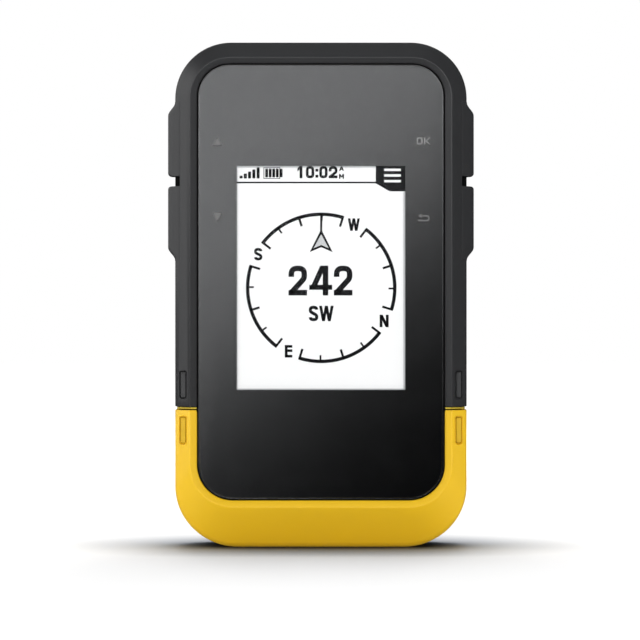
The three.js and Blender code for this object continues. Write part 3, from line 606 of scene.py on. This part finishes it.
def side_key(name, side, low, high, way):
    """way is 1 where the upper end ramps into the wall and -1 where the lower end does."""
    flush, out = BODY["half"] + 0.05, KEY_OUT
    rings = []
    count = 46
    for i in range(count + 1):
        t = i / count
        z = lerp(low, high, 0.5 - 0.5 * math.cos(math.pi * t))
        to_ramp = (high - z) if way > 0 else (z - low)
        to_notch = (z - low) if way > 0 else (high - z)
        stand = smooth((to_ramp - 0.15) / 2.5)
        nip = min(1.0, to_notch / 0.6)
        x = flush + (out - flush) * stand - 0.6 * (1 - math.sqrt(max(0.0, 1 - (1 - nip) ** 2)))
        rings.append([(px, py, z) for px, py in key_section(side, x)])
    made = plain(name + "_pad", loft(rings))
    piece(made, name, "key_rubber", MATERIALS["key_rubber"], [name], 40)


for key_name, key_side, row in (
    ("key_up", -1, "upper"),
    ("key_down", -1, "lower"),
    ("key_ok", 1, "upper"),
    ("key_back", 1, "lower"),
):
    side_key(key_name, key_side, *KEYS[row])


def power_key():
    rows = [(99.3, 0), (101.4, 0), (101.62, 0.06), (101.78, 0.2), (101.85, 0.5), (101.8, 1.2), (101.72, 1.7)]
    made = plain("key_power_pad", loft([power_outline(POWER_RADIUS - by, z) for z, by in rows]))
    piece(made, "key_power", "key_rubber", MATERIALS["key_rubber"], ["key_power"], 40)


power_key()


# -------------------- lens, mask and display
def make_lens():
    lens = plain("lens_plate", slab(LENS, LENS_FACE, LENS_BACK, 0.06, 0.0, CORNER, 3))
    piece(lens, "housing", "lens_clear", MATERIALS["lens_clear"], ["lens_cover"], 50)
    front, back = 0.04, 0.09  # the black print's depths behind the plate
    mask = plain("lens_print", slab(inset(LENS, 0.28), LENS_BACK + front, LENS_BACK + back, 0, 0, CORNER))
    outer, inner, skirt, tip = 0.03, 0.27, 0.1, -0.86  # the rim's skirt lines the plate's side
    rows = ((tip, outer), (back, outer), (back, inner), (front, inner), (front, skirt), (tip, skirt))
    rim = plain("lens_rim", loft([level(inset(LENS, by), LENS_BACK + y) for y, by in rows], wrap=True))
    piece(rim, "housing", "mask_black", RIM_BLACK)
    half, low, high = WINDOW
    boolean(mask, brick((-half, half), (-16, -14), (low, high)))
    piece(mask, "housing", "mask_black", MATERIALS["mask_black"], ["lens_mask"])
    face, foot, out = -15.2, LENS_SEAT - 0.02, LENS["half"] - OPENING["half"] + 0.02
    rows = ((foot, out), (face, out), (face, -0.02), (foot, -0.02))
    seal = plain("lens_seal", loft([level(inset(LENS, by), y) for y, by in rows], wrap=True))
    piece(seal, "housing", "gasket_rubber", SHADOW_RUBBER, ["lens_gasket"])


make_lens()
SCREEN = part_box("lcd_panel")[0].y / MM  # depth of the display's face


def flat(polygons, y):
    """Flat shapes in the front view at one depth, each a list of (x, z)."""
    bm = bmesh.new()
    for points in polygons:
        page = [(x * PAGE_SCALE, y, lerp(PAGE_MIDDLE, z, PAGE_SCALE)) for x, z in points]
        face = bm.faces.new([bm.verts.new(Vector(p) * MM) for p in page])
        bm.normal_update()
        if face.normal.y > 0:
            face.normal_flip()
    return bm


def arc(cx, cz, r, width, start, end, steps=24):
    """A band along a circle; angles are clockwise from straight up, in degrees."""
    r, width = r + SPREAD, width + 2 * SPREAD
    angles = [math.radians(lerp(start, end, i / steps)) for i in range(steps + 1)]
    outer = [(cx + r * math.sin(a), cz + r * math.cos(a)) for a in angles]
    inner = [(cx + (r - width) * math.sin(a), cz + (r - width) * math.cos(a)) for a in reversed(angles)]
    return outer + inner


def tick(cx, cz, r0, r1, width, angle):
    """A stroke along a radius; the angle is clockwise from straight up, in degrees."""
    a = math.radians(angle)
    along, across = Vector((math.sin(a), math.cos(a))), Vector((math.cos(a), -math.sin(a)))
    across *= width / 2 + SPREAD
    centre = Vector((cx, cz))
    corners = (centre + along * r0 - across, centre + along * r0 + across)
    corners += (centre + along * r1 + across, centre + along * r1 - across)
    return [(c.x, c.y) for c in corners]


def rectangle(x0, x1, z0, z1):
    return [(x0, z0), (x1, z0), (x1, z1), (x0, z1)]


def blot(x0, x1, z0, z1):
    """A rectangle with the ink's spread round it."""
    return rectangle(x0 - SPREAD, x1 + SPREAD, z0 - SPREAD, z1 + SPREAD)


def bow(cx, cz, rx, rz, start, end, steps=14):
    """Points along a squarish ellipse; angles run anticlockwise from the right, in degrees."""
    found = []
    for i in range(steps + 1):
        a = math.radians(lerp(start, end, i / steps))
        c, d = math.cos(a), math.sin(a)
        u, v = math.copysign(abs(c) ** SQUARE, c), math.copysign(abs(d) ** SQUARE, d)
        found.append((cx + rx * u, cz + rz * v))
    return found


def strip(points, w, closed=False):
    """Four-sided faces w wide that follow a line of points."""
    rims = []
    last = len(points) - 1
    for i, p in enumerate(points):
        before = points[i - 1] if i or closed else p
        after = points[0 if i == last else i + 1] if i < last or closed else p
        along = Vector((after[0] - before[0], after[1] - before[1])).normalized() * w / 2
        rims.append(((p[0] - along.y, p[1] + along.x), (p[0] + along.y, p[1] - along.x)))
    ends = rims[1:] + (rims[:1] if closed else [])
    return [[a[0], a[1], b[1], b[0]] for a, b in zip(rims, ends)]


def slant(x0, z0, x1, z1, w):
    """A leaning stroke with level ends."""
    return [(x0 - w / 2, z0), (x0 + w / 2, z0), (x1 + w / 2, z1), (x1 - w / 2, z1)]


def glyph(letter, box, w):
    """Faces of one letter or figure drawn with strokes w wide inside a box (x0, x1, z0, z1)."""
    x0, x1, z0, z1 = box[0] - SPREAD, box[1] + SPREAD, box[2] - SPREAD, box[3] + SPREAD
    w += 2 * SPREAD
    left, right, low, high = x0 + w / 2, x1 - w / 2, z0 + w / 2, z1 - w / 2
    mid, wide, tall = (x0 + x1) / 2, x1 - x0, z1 - z0
    rx = (right - left) / 2
    stem, far_stem = rectangle(x0, x0 + w, z0, z1), rectangle(x1 - w, x1, z0, z1)
    if letter in "0O":
        ry = min(rx, tall / 3)
        ring = bow(mid, high - ry, rx, ry, 0, 180) + bow(mid, low + ry, rx, ry, 180, 360)
        return strip(ring, w, True)
    if letter == "1":
        flag = [(x1 - w, z1), (x0, z1 - 0.9 * w), (x0, z1 - 2 * w), (x1 - w, z1 - 1.2 * w)]
        return [far_stem, flag]
    if letter == "2":
        ry = min(rx, tall / 3)
        path = [(left, high - 1.3 * ry)] + bow(mid, high - ry, rx, ry, 180, -32) + [(left, low)]
        return strip(path, w) + [rectangle(x0, x1, z0, z0 + w)]
    if letter == "4":
        s, bar = x0 + 0.71 * wide, z0 + 0.19 * tall
        leg = slant(s - 0.42 * w, z1, x0 + 0.53 * w, bar, 1.06 * w)
        return [rectangle(s - w / 2, s + w / 2, z0, z1), rectangle(x0, x1, bar, bar + 0.9 * w), leg]
    if letter == "S":
        ry = (high - low) * 0.235
        top, bottom = high - ry, low + ry
        path = bow(mid, top, rx, ry, 5, 180)
        for i in range(1, 12):
            t = i / 12
            x = left * (1 - t) ** 2 * (1 + 2 * t) + right * t * t * (3 - 2 * t)
            path.append((x, lerp(top, bottom, t + 0.5 * t * (1 - t) * (1 - 2 * t))))
        return strip(path + bow(mid, bottom, rx, ry, 0, -175), w)
    if letter == "W":
        xs = [lerp(left, right, i / 4) for i in range(5)]
        return [slant(xs[i], (z1, z0)[i % 2], xs[i + 1], (z0, z1)[i % 2], 1.05 * w) for i in range(4)]
    if letter == "N":
        return [stem, far_stem, slant(left, z1, right, z0, 1.15 * w)]
    if letter == "E":
        return [stem] + [rectangle(x0, x1, z, z + 0.95 * w) for z in (z0, (z0 + high) / 2, z1 - 0.95 * w)]
    if letter == "A":
        bar = rectangle(left, right, z0 + 0.25 * tall, z0 + 0.25 * tall + w * 0.8)
        return [slant(mid, z1, left, z0, w), slant(mid, z1, right, z0, w), bar]
    if letter == "M":
        dip = z0 + 0.3 * tall
        return [stem, far_stem, slant(left, z1, mid, dip, w), slant(right, z1, mid, dip, w)]
    if letter == "K":
        knee = (z0 + z1) / 2
        arm = slant(x0 + w, knee - w / 2, right, z1, w * 1.1)
        return [stem, arm, slant(x0 + 1.5 * w, knee, right, z0, w * 1.1)]
    if letter == ":":
        return [rectangle(x0, x1, z, z + x1 - x0) for z in (z0 + 0.05 * tall, z1 - 0.22 * tall - (x1 - x0))]
    raise ValueError(letter)


def make_screen():
    """A compass page: status bar, menu tab, compass ring, needle and heading."""
    cx, cz, r, line = 0.05, 52.55, 15.18, 0.58
    turn, half_gap = 27.4, 9.7  # where the first letter stands on the ring, and half its gap, in degrees
    ink_y = SCREEN - 0.03
    ink = [blot(-17.1, 11.2, 73.76, 73.96)]
    for i in range(5):
        x = -16.41 + 0.863 * i
        ink.append(blot(x, x + 0.49, 74.75, 75.17 + 0.42 * i))
    ink += [
        rectangle(-11.62, -8.25, 76.82, 76.95),
        rectangle(-11.62, -8.25, 74.62, 74.75),
        rectangle(-11.62, -11.47, 74.75, 76.82),
        rectangle(-8.4, -8.25, 74.75, 76.82),
        blot(-8.32, -7.83, 75.0, 76.58),
    ]
    ink += [blot(-11.21 + 0.714 * i, -10.76 + 0.714 * i, 74.97, 76.62) for i in range(4)]
    ink.append([(11.09, 77.4), (11.09, 73.68), (13.9, 72.08), (17.2, 72.08), (17.2, 77.4)])
    for quarter in range(4):
        letter = turn + 90 * quarter
        ink.append(arc(cx, cz, r, line, letter + half_gap, letter + 90 - half_gap))
        marks = ((half_gap + 0.6, 2.25, 0.34), (89.4 - half_gap, 2.25, 0.34), (45, 2.1, 0.34))
        for offset, deep, wide in marks + ((26.8, 1.55, 0.24), (63.2, 1.55, 0.24)):
            ink.append(tick(cx, cz, r - 0.02, r - deep, wide, letter + offset))
    ink.append(tick(cx, cz, r - 0.1, 63.5 - cz, 0.3, 0))
    ink.append([(cx, 64.42), (cx + 2.32, 59.78), (cx, 60.76), (cx - 2.32, 59.78)])
    clock, heading, wind = (74.79, 77.12), (51.07, 56.98), (45.86, 48.86)  # lows and highs of the lines
    words = [
        ("1", (-4.7, -3.82, *clock), 0.43),
        ("0", (-3.0, -1.42, *clock), 0.43),
        (":", (-1.05, -0.6, *clock), 0.43),
        ("0", (-0.27, 1.28, *clock), 0.43),
        ("2", (1.64, 3.28, *clock), 0.43),
        ("A", (3.72, 4.6, 76.3, 77.05), 0.15),
        ("M", (3.72, 4.6, 74.68, 75.52), 0.15),
        ("2", (-6.5, -2.87, *heading), 1.0),
        ("4", (-2.29, 2.2, *heading), 1.0),
        ("2", (2.67, 6.31, *heading), 1.0),
        ("S", (-2.41, -0.6, *wind), 0.52),
        ("W", (-0.3, 2.5, *wind), 0.43),
    ]
    points = (("W", 2.3, 0.36, 0.05), ("N", 1.7, 0.44, -0.1), ("E", 1.4, 0.44, -0.1), ("S", 1.55, 0.44, 0.2))
    for quarter, (letter, wide, stroke, up) in enumerate(points):
        a = math.radians(turn + 90 * quarter)
        x, z = cx + 14.35 * math.sin(a), cz + up + 14.35 * math.cos(a)
        words.append((letter, (x - wide / 2, x + wide / 2, z - 1.2, z + 1.2), stroke))
    for letter, box, stroke in words:
        ink += glyph(letter, box, stroke)
    piece(plain("screen_ink", flat(ink, ink_y)), "housing", "mask_black", INK)
    arrow = [(cx, 63.38), (cx + 1.52, 60.58), (cx, 61.22), (cx - 1.52, 60.58)]
    piece(plain("screen_needle", flat([arrow], ink_y - 0.02)), "housing", "display_glass", GREY_INK)
    bars = [rectangle(12.8, 16.15, z - 0.24, z + 0.24) for z in (76.43, 75.29, 74.13)]
    bars_piece = plain("screen_menu_bars", flat(bars, ink_y - 0.02))
    piece(bars_piece, "housing", "display_glass", MATERIALS["display_glass"])
    half, low, high = WINDOW
    under = 0.3  # how far the border and its painted shade run on behind the mask
    # A grey frame round the window: the display's border, its grey also a painted shade cast by the mask's
    # edge.
    border = [
        rectangle(-half - under, half + under, low - under, low + 0.16),
        rectangle(half - 0.26, half + under, low, 72),
        rectangle(-half - under, 11.0, high - 0.14, high + under),
        rectangle(-half - under, 0.1 - half, low, high),
    ]
    piece(plain("screen_border_and_shade", flat(border, SCREEN - 0.015)), "housing", "display_glass", GREY_INK)


make_screen()


def make_labels():
    """Small grey marks beside the keys."""
    marks = [
        [(-20.93, 83.02), (-19.98, 81.3), (-21.88, 81.3)],
        [(-20.93, 65.93), (-19.98, 67.68), (-21.88, 67.68)],
        rectangle(20.2, 21.32, 66.93, 67.21),
        [(20.4, 67.6), (20.4, 66.54), (19.55, 67.07)],
        rectangle(19.6, 21.32, 65.97, 66.25),
    ]
    marks.append(arc(21.32, 66.59, 0.56, 0.16, 0, 180, 12))
    piece(plain("arrow_marks", flat(marks, LENS_FACE - 0.01)), "housing", "mask_black", ARROW_INK)
    letters = glyph("O", (19.38, 20.46, 81.5, 82.86), 0.12)
    letters += glyph("K", (20.87, 22.12, 81.5, 82.86), 0.12)
    piece(plain("letter_marks", flat(letters, LENS_FACE - 0.01)), "housing", "mask_black", LETTER_INK)


make_labels()


# -------------------- rear half
def rear_solid(by=0.0, front=PARTING + GAP, back=None, soft=0.12):
    """The rear half's outer form, moved inwards by a distance."""
    back = BACK - by if back is None else back
    rows = [(front, soft, 0.0), (front + soft, 0.0, 0.0)] if soft else [(front, 0.0, 0.0)]
    steps = 22
    for i in range(steps + 1):
        a = math.pi / 2 * i / steps
        y = CROWN_START + (back - CROWN_START) * math.sin(a)
        over = max(0.0, y - (back - HEEL_RADIUS))
        heel = HEEL_RADIUS - math.sqrt(max(0.0, HEEL_RADIUS**2 - over**2))
        rows.append((y, CROWN_INSET * (1 - math.cos(a)), heel))
    rings = []
    for y, crown, heel in rows:
        o = {
            "half": BODY["half"] - by - crown,
            "low": by + heel + (crown if y < CROWN_START else 0),
            "high": BODY["high"] - by - crown,
            "top": BODY["top"] - by - 0.7 * crown,
            "bottom": BODY["bottom"] - by - 0.7 * crown,
        }
        rings.append(level(o, y))
    return loft(rings)


def turned(radius, y0, y1, at, steps=40):
    return lathe([(radius, y0), (radius, y1)], at, "y", steps)


def centred(half, middle, tall, corner):
    return {"half": half, "low": middle - tall, "high": middle + tall, "top": corner, "bottom": corner}


FLAP = centred(8, PORT_Z, 4.4, 2)  # outline of the weather cap


def make_rear():
    """The rear shell with its battery bay, bosses and port opening, and the battery cover."""
    shell = plain("rear_shell_outer", rear_solid())
    boolean(shell, rear_solid(2.0, PARTING - 1, BACK - 2, 0.0))
    bulkhead = {"half": 26.2, "low": 1.4, "high": DOOR["high"] + 2.2, "top": 4, "bottom": 11}
    boolean(shell, slab(bulkhead, 4.7, 5.9), "UNION")
    boolean(shell, brick((-16.3, 16.3), (-7.2, 5.85), (18.4, 77)), "UNION")
    boolean(shell, slab({"half": 15.1, "low": 19.6, "high": 75.8, "top": 0.6, "bottom": 0.6}, -6, 20))
    boolean(shell, slab(inset(DOOR, -0.25), 5.9, 20, 0, 0, 14))
    boolean(shell, turned(6.6, 0.7, 5.85, (0, LATCH_Z)), "UNION")
    boolean(shell, turned(5.6, 1.7, 8, (0, LATCH_Z)))
    for x in (-20.9, 20.9):
        for z in (9, 76):
            boolean(shell, turned(1.3, -5, 20, (x, z), 20))
    boolean(shell, slab(inset(FLAP, -1.4), 6.6, 9.6), "UNION")
    boolean(shell, slab(inset(FLAP, -0.25), 9.4, 20))
    boolean(shell, slab(centred(6.1, PORT_Z, 3.1, 2), 5, 20))
    piece(shell, "housing", "housing_dark", MATERIALS["housing_dark"], ["rear_shell"])

    cover = plain("battery_cover_plate", rear_solid())
    boolean(cover, slab(DOOR, 7.2, 20, 0, 0, 14), "INTERSECT")
    boolean(cover, slab({"half": 15.4, "low": 19.2, "high": 76.2, "top": 2, "bottom": 2}, 0, 9.2))
    dish = [(2.8, 5), (2.8, DISH_FLOOR), (6.7, DISH_FLOOR), (7.0, DISH_FLOOR + 0.1), (7.2, DISH_FLOOR + 0.4)]
    dish += [(7.5, BACK - 0.45), (7.62, BACK - 0.18), (7.9, BACK + 0.02), (8.6, BACK + 2)]
    boolean(cover, lathe(dish, (0, LATCH_Z), "y", 72))
    piece(cover, "cover", "cover_dark", MATERIALS["cover_dark"], ["battery_cover"])


make_rear()


def extruded(profile, z0, z1, soft):
    """A profile in plan extruded upwards, with its long and end edges rounded."""
    bm = loft([[(x, y, z) for x, y in profile] for z in (z0, z1)])
    sharp = [e for e in bm.edges if len(e.link_faces) == 2 and e.calc_face_angle() > math.radians(25)]
    bmesh.ops.bevel(bm, geom=sharp, offset=soft * MM, segments=3, profile=0.5, affect="EDGES")
    return bm


def make_rail():
    foot, back = BACK + 0.05, CAD_HIGH.y / MM
    half = [(5.2, foot), (4.0, foot + 0.9), (4.0, 13.6), (6.5, 13.8), (6.5, back - 0.8), (5.7, back)]
    profile = half + [(-x, y) for x, y in reversed(half)]
    rail = plain("mounting_rail_body", extruded(profile, 34, 70, 0.22))
    boolean(rail, brick((-3, 3), (back - 1.1, back + 1), (61, 63.4)))
    piece(rail, "cover", "inner_plastic", MATERIALS["inner_plastic"], ["mounting_rail"])


make_rail()


def make_weather_cap():
    """The flap with its plug, a groove for the fingernail and a bead along its strap."""
    cap = plain("weather_cap_flap", slab(FLAP, 9.5, BACK - 0.03, 0.0, 0.3, 10))
    boolean(cap, slab(centred(5.4, PORT_Z, 2.4, 1.6), 9.35, 9.6, 0.1, 0.0), "UNION")
    boolean(cap, slab(pill(-5.9, PORT_Z - 2.2, PORT_Z + 2.2, 0.7), BACK - 0.35, BACK + 1))
    strap = bead(0.34, PORT_Z - 2.6, PORT_Z + 2.6, 0.12, 0.12)
    boolean(cap, lathe(strap, (7.6, BACK - 0.1), "z", 20), "UNION")
    piece(cap, "weather_cap", "key_rubber", MATERIALS["key_rubber"], ["weather_cap"])


make_weather_cap()


def make_latch():
    """The slotted barrel and the D-shaped wire ring that turns in it."""
    top = BACK - 0.2
    profile = [(2.5, 4.6), (2.5, DISH_FLOOR + 0.15)] + bead(3.55, DISH_FLOOR + 0.15, top, 0.12, 0.35)
    barrel = plain("latch_barrel_head", lathe(profile + [(2.2, top)], (0, LATCH_Z), "y", 64))
    boolean(barrel, lathe([(1.0, -5), (1.0, 5)], (RING_Y, LATCH_Z), "x", 24))
    boolean(barrel, brick((-3, 3), (top - 0.35, top + 1), (LATCH_Z + 1.6, LATCH_Z + 2.1)))
    piece(barrel, "latch", "latch_steel", MATERIALS["latch_steel"], ["latch_barrel"])

    radius, wire, corner = 5.9, 0.74, 1.0
    path = [(x, 0.0) for x in (-4.9, -2.5, 0, 2.5, 4.9)]
    for step in range(1, 7):
        a = math.pi / 2 * step / 6
        path.append((radius - corner + corner * math.sin(a), corner * (math.cos(a) - 1)))
    first = math.asin(corner / radius)
    for step in range(1, 48):
        a = first + (math.pi - 2 * first) * step / 48
        path.append((radius * math.cos(a), -radius * math.sin(a)))
    for step in range(6, 0, -1):
        a = math.pi / 2 * step / 6
        path.append((corner - radius - corner * math.sin(a), corner * (math.cos(a) - 1)))
    rings = []
    for i, (x, z) in enumerate(path):
        (ax, az), (bx, bz) = path[i - 1], path[(i + 1) % len(path)]
        along = Vector((bx - ax, 0, bz - az)).normalized()
        side = along.cross(Vector((0, 1, 0)))
        ring = []
        for k in range(16):
            a = 2 * math.pi * k / 16
            offset = side * math.cos(a) * wire + Vector((0, 1, 0)) * math.sin(a) * wire
            ring.append((x + offset.x, RING_Y + offset.y, LATCH_Z + z + offset.z))
        rings.append(ring)
    ring_piece = plain("latch_ring_wire", loft(rings, wrap=True))
    piece(ring_piece, "latch_ring", "latch_steel", MATERIALS["latch_steel"], ["latch_ring"], 60)


make_latch()


def make_cells():
    """Cells with a rounded can, a crimped shoulder and a stepped nub."""
    for name, way in (("battery_left", 1), ("battery_right", -1)):
        low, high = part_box(name)
        x, y = (low.x + high.x) / 2 / MM, (low.y + high.y) / 2 / MM
        base = low.z / MM if way > 0 else high.z / MM
        profile = [(0.3, 0), (6.3, 0), (6.8, 0.15), (7.05, 0.5), (7.08, 1.2), (7.08, 48.0), (7.0, 48.5)]
        profile += [(6.6, 48.9), (5.9, 49.1), (4.2, 49.1), (3.0, 49.2), (2.7, 49.3), (2.66, 50.2)]
        profile += [(2.4, 50.45), (0.3, 50.5)]
        made = plain(name + "_can", lathe([(r, base + way * h) for r, h in profile], (x, y), "z", 64))
        piece(made, "housing", "cell_sleeve", MATERIALS["cell_sleeve"], [name])


make_cells()

SLOTS = {row["node"]: row["material_slot"] for row in frame["record"]["subparts"]}
for node_name, cad in frame["nodes"].items():
    cad.data.materials.clear()
    cad.data.materials.append(MATERIALS[SLOTS[node_name]])


# -------------------- floor, light and camera
CARD_SIZE, CARD_HEIGHT = 1.2, 0.05  # of the card the lens mirrors, in metres


def make_floor():
    """White floor with a painted contact shadow near the object, darkened and cooled in tint, that glows to
    pure white away from it.
    """
    bpy.ops.mesh.primitive_plane_add(size=6)
    floor = bpy.context.active_object
    floor.name = "floor"
    floor.visible_glossy = False
    mat, tree, shader = start("floor_white")
    link = tree.links.new
    shader.inputs["Roughness"].default_value = 0.9
    shader.inputs["Specular IOR Level"].default_value = 0.1
    shader.inputs["Emission Color"].default_value = (1, 1, 1, 1)
    is_camera = tree.nodes.new("ShaderNodeLightPath").outputs["Is Camera Ray"]
    # Camera rays see the floor darkened and tinted by ambient occlusion near the object: a painted contact
    # shadow.
    white, contact_reach = 0.92, 0.026
    open_sky = node(tree, "ShaderNodeAmbientOcclusion", samples=16, Distance=contact_reach)
    shade = node(tree, "ShaderNodeMix", data_type="FLOAT")
    shade.inputs["A"].default_value = white
    link(is_camera, shade.inputs["Factor"])
    contact = math_node(tree, "MULTIPLY", math_node(tree, "POWER", open_sky.outputs["AO"], 2.0), white)
    link(contact, shade.inputs["B"])
    cool = node(tree, "ShaderNodeMix", data_type="RGBA", blend_type="MULTIPLY", Factor=1.0)
    link(shade.outputs[0], cool.inputs["A"])
    link(mixed(tree, (0.72, 0.83, 1), (1, 1, 1), open_sky.outputs["AO"]), cool.inputs["B"])
    link(cool.outputs["Result"], shader.inputs["Base Color"])
    away = node(tree, "ShaderNodeVectorMath", operation="LENGTH")
    link(tree.nodes.new("ShaderNodeTexCoord").outputs["Object"], away.inputs[0])
    faded = between(tree, away.outputs["Value"], 0.0, 0.66, 0.3, 1.4, "SMOOTHSTEP")
    near = between(tree, away.outputs["Value"], 0.0, 0.6, 0.16, 0.5, "SMOOTHSTEP")
    glow = math_node(tree, "MAXIMUM", faded, math_node(tree, "MULTIPLY", near, is_camera))
    link(glow, shader.inputs["Emission Strength"])
    floor.data.materials.append(mat)


def make_world():
    """White to the camera, soft light to surfaces, and a dim room to mirrors that is lighter in front."""
    world = bpy.data.worlds.new("studio")
    scene.world = world
    world.use_nodes = True
    tree = world.node_tree
    link = tree.links.new
    tree.nodes.clear()
    out = tree.nodes.new("ShaderNodeOutputWorld")
    seen = node(tree, "ShaderNodeBackground", Color=(1, 1, 1, 1), Strength=1.0)
    soft = node(tree, "ShaderNodeBackground", Color=(1, 1, 1, 1), Strength=0.4)
    dim = node(tree, "ShaderNodeBackground", Color=(1, 1, 1, 1))
    facing = tree.nodes.new("ShaderNodeSeparateXYZ")
    link(tree.nodes.new("ShaderNodeTexCoord").outputs["Generated"], facing.inputs[0])
    link(between(tree, facing.outputs["Y"], 0.05, 0.4, 0.0, -0.6, "SMOOTHSTEP"), dim.inputs["Strength"])
    path = tree.nodes.new("ShaderNodeLightPath")
    unseen = mix_shaders(tree, path.outputs["Is Glossy Ray"], soft.outputs[0], dim.outputs[0])
    link(mix_shaders(tree, path.outputs["Is Camera Ray"], unseen, seen.outputs[0]), out.inputs[0])


def softbox(name, place, target, size, radiance, glossy=True):
    """A rectangular lamp in metres that faces its target and hides from the camera."""
    light = bpy.data.lights.new(name, "AREA")
    light.shape, light.size, light.size_y = "RECTANGLE", size[0], size[1]
    light.energy = radiance * math.pi * size[0] * size[1]
    lamp = bpy.data.objects.new(name, light)
    lamp.location = place
    lamp.rotation_euler = (Vector(target) - Vector(place)).to_track_quat("-Z", "Y").to_euler()
    lamp.visible_camera = False
    lamp.visible_glossy = glossy
    scene.collection.objects.link(lamp)


def reflector():
    """A card behind the camera that fades towards its lower right; the lens mirrors it."""
    upright = (math.radians(90), 0, 0)
    bpy.ops.mesh.primitive_plane_add(size=1, location=(0, -1.0, CARD_HEIGHT), rotation=upright)
    card = bpy.context.active_object
    card.name = "reflector"
    card.scale = (CARD_SIZE, CARD_SIZE, 1)
    card.visible_camera = card.visible_shadow = card.visible_diffuse = False
    mat, tree, shader = start("reflector_glow")
    link = tree.links.new
    tree.nodes.remove(shader)
    coords = tree.nodes.new("ShaderNodeTexCoord").outputs["Object"]
    parts = tree.nodes.new("ShaderNodeSeparateXYZ")
    link(coords, parts.inputs[0])
    slope, middle, width, brightest = 0.8, 0.0725, 0.0305, 4.0
    height = math_node(tree, "MULTIPLY", parts.outputs["Y"], CARD_SIZE)
    across = math_node(tree, "MULTIPLY", parts.outputs["X"], CARD_SIZE * slope)
    drop = math_node(tree, "SUBTRACT", middle - CARD_HEIGHT, math_node(tree, "SUBTRACT", height, across))
    fade = math_node(tree, "EXPONENT", math_node(tree, "DIVIDE", drop, width))
    strength = math_node(tree, "DIVIDE", brightest, math_node(tree, "ADD", fade, 1.0))
    glow = node(tree, "ShaderNodeEmission", Color=(1, 1, 1, 1))
    link(strength, glow.inputs["Strength"])
    link(glow.outputs[0], tree.nodes["Material Output"].inputs["Surface"])
    card.data.materials.append(mat)


def make_camera():
    distance, wide = 0.72, 0.1295  # metres from the front face's plane, and the width seen there
    aside, height = -0.00019, 0.04604
    camera = bpy.data.cameras.new("camera")
    camera.sensor_width = 36
    camera.lens = 36 * distance / wide
    camera.clip_start, camera.clip_end = 0.05, 20
    holder = bpy.data.objects.new("camera", camera)
    holder.location = (aside, -distance - 0.010, height)
    holder.rotation_euler = (math.radians(90), 0, 0)
    scene.collection.objects.link(holder)
    scene.camera = holder


make_camera()
make_floor()
make_world()
reflector()
softbox("left_panel", (-0.55, 0.08, 0.24), (0, 0, 0.1), (0.7, 0.46), 1.3)
softbox("overhead", (0, 0.42, 0.85), (0, 0, 0.0), (0.4, 0.7), 7.0, glossy=False)
softbox("front_fill", (-0.1, -0.9, 0.2), (0, 0, 0.05), (0.7, 0.35), 4.6, glossy=False)
softbox("right_fill", (0.7, -0.35, 0.25), (0, 0, 0.05), (0.5, 0.5), 1.3, glossy=False)
softbox("rear_panel", (0.35, 0.75, 0.45), (0, 0, 0.05), (0.5, 0.5), 1.2, glossy=False)
view = scene.view_settings
view.view_transform, view.look, view.exposure = "Standard", "None", 0.0
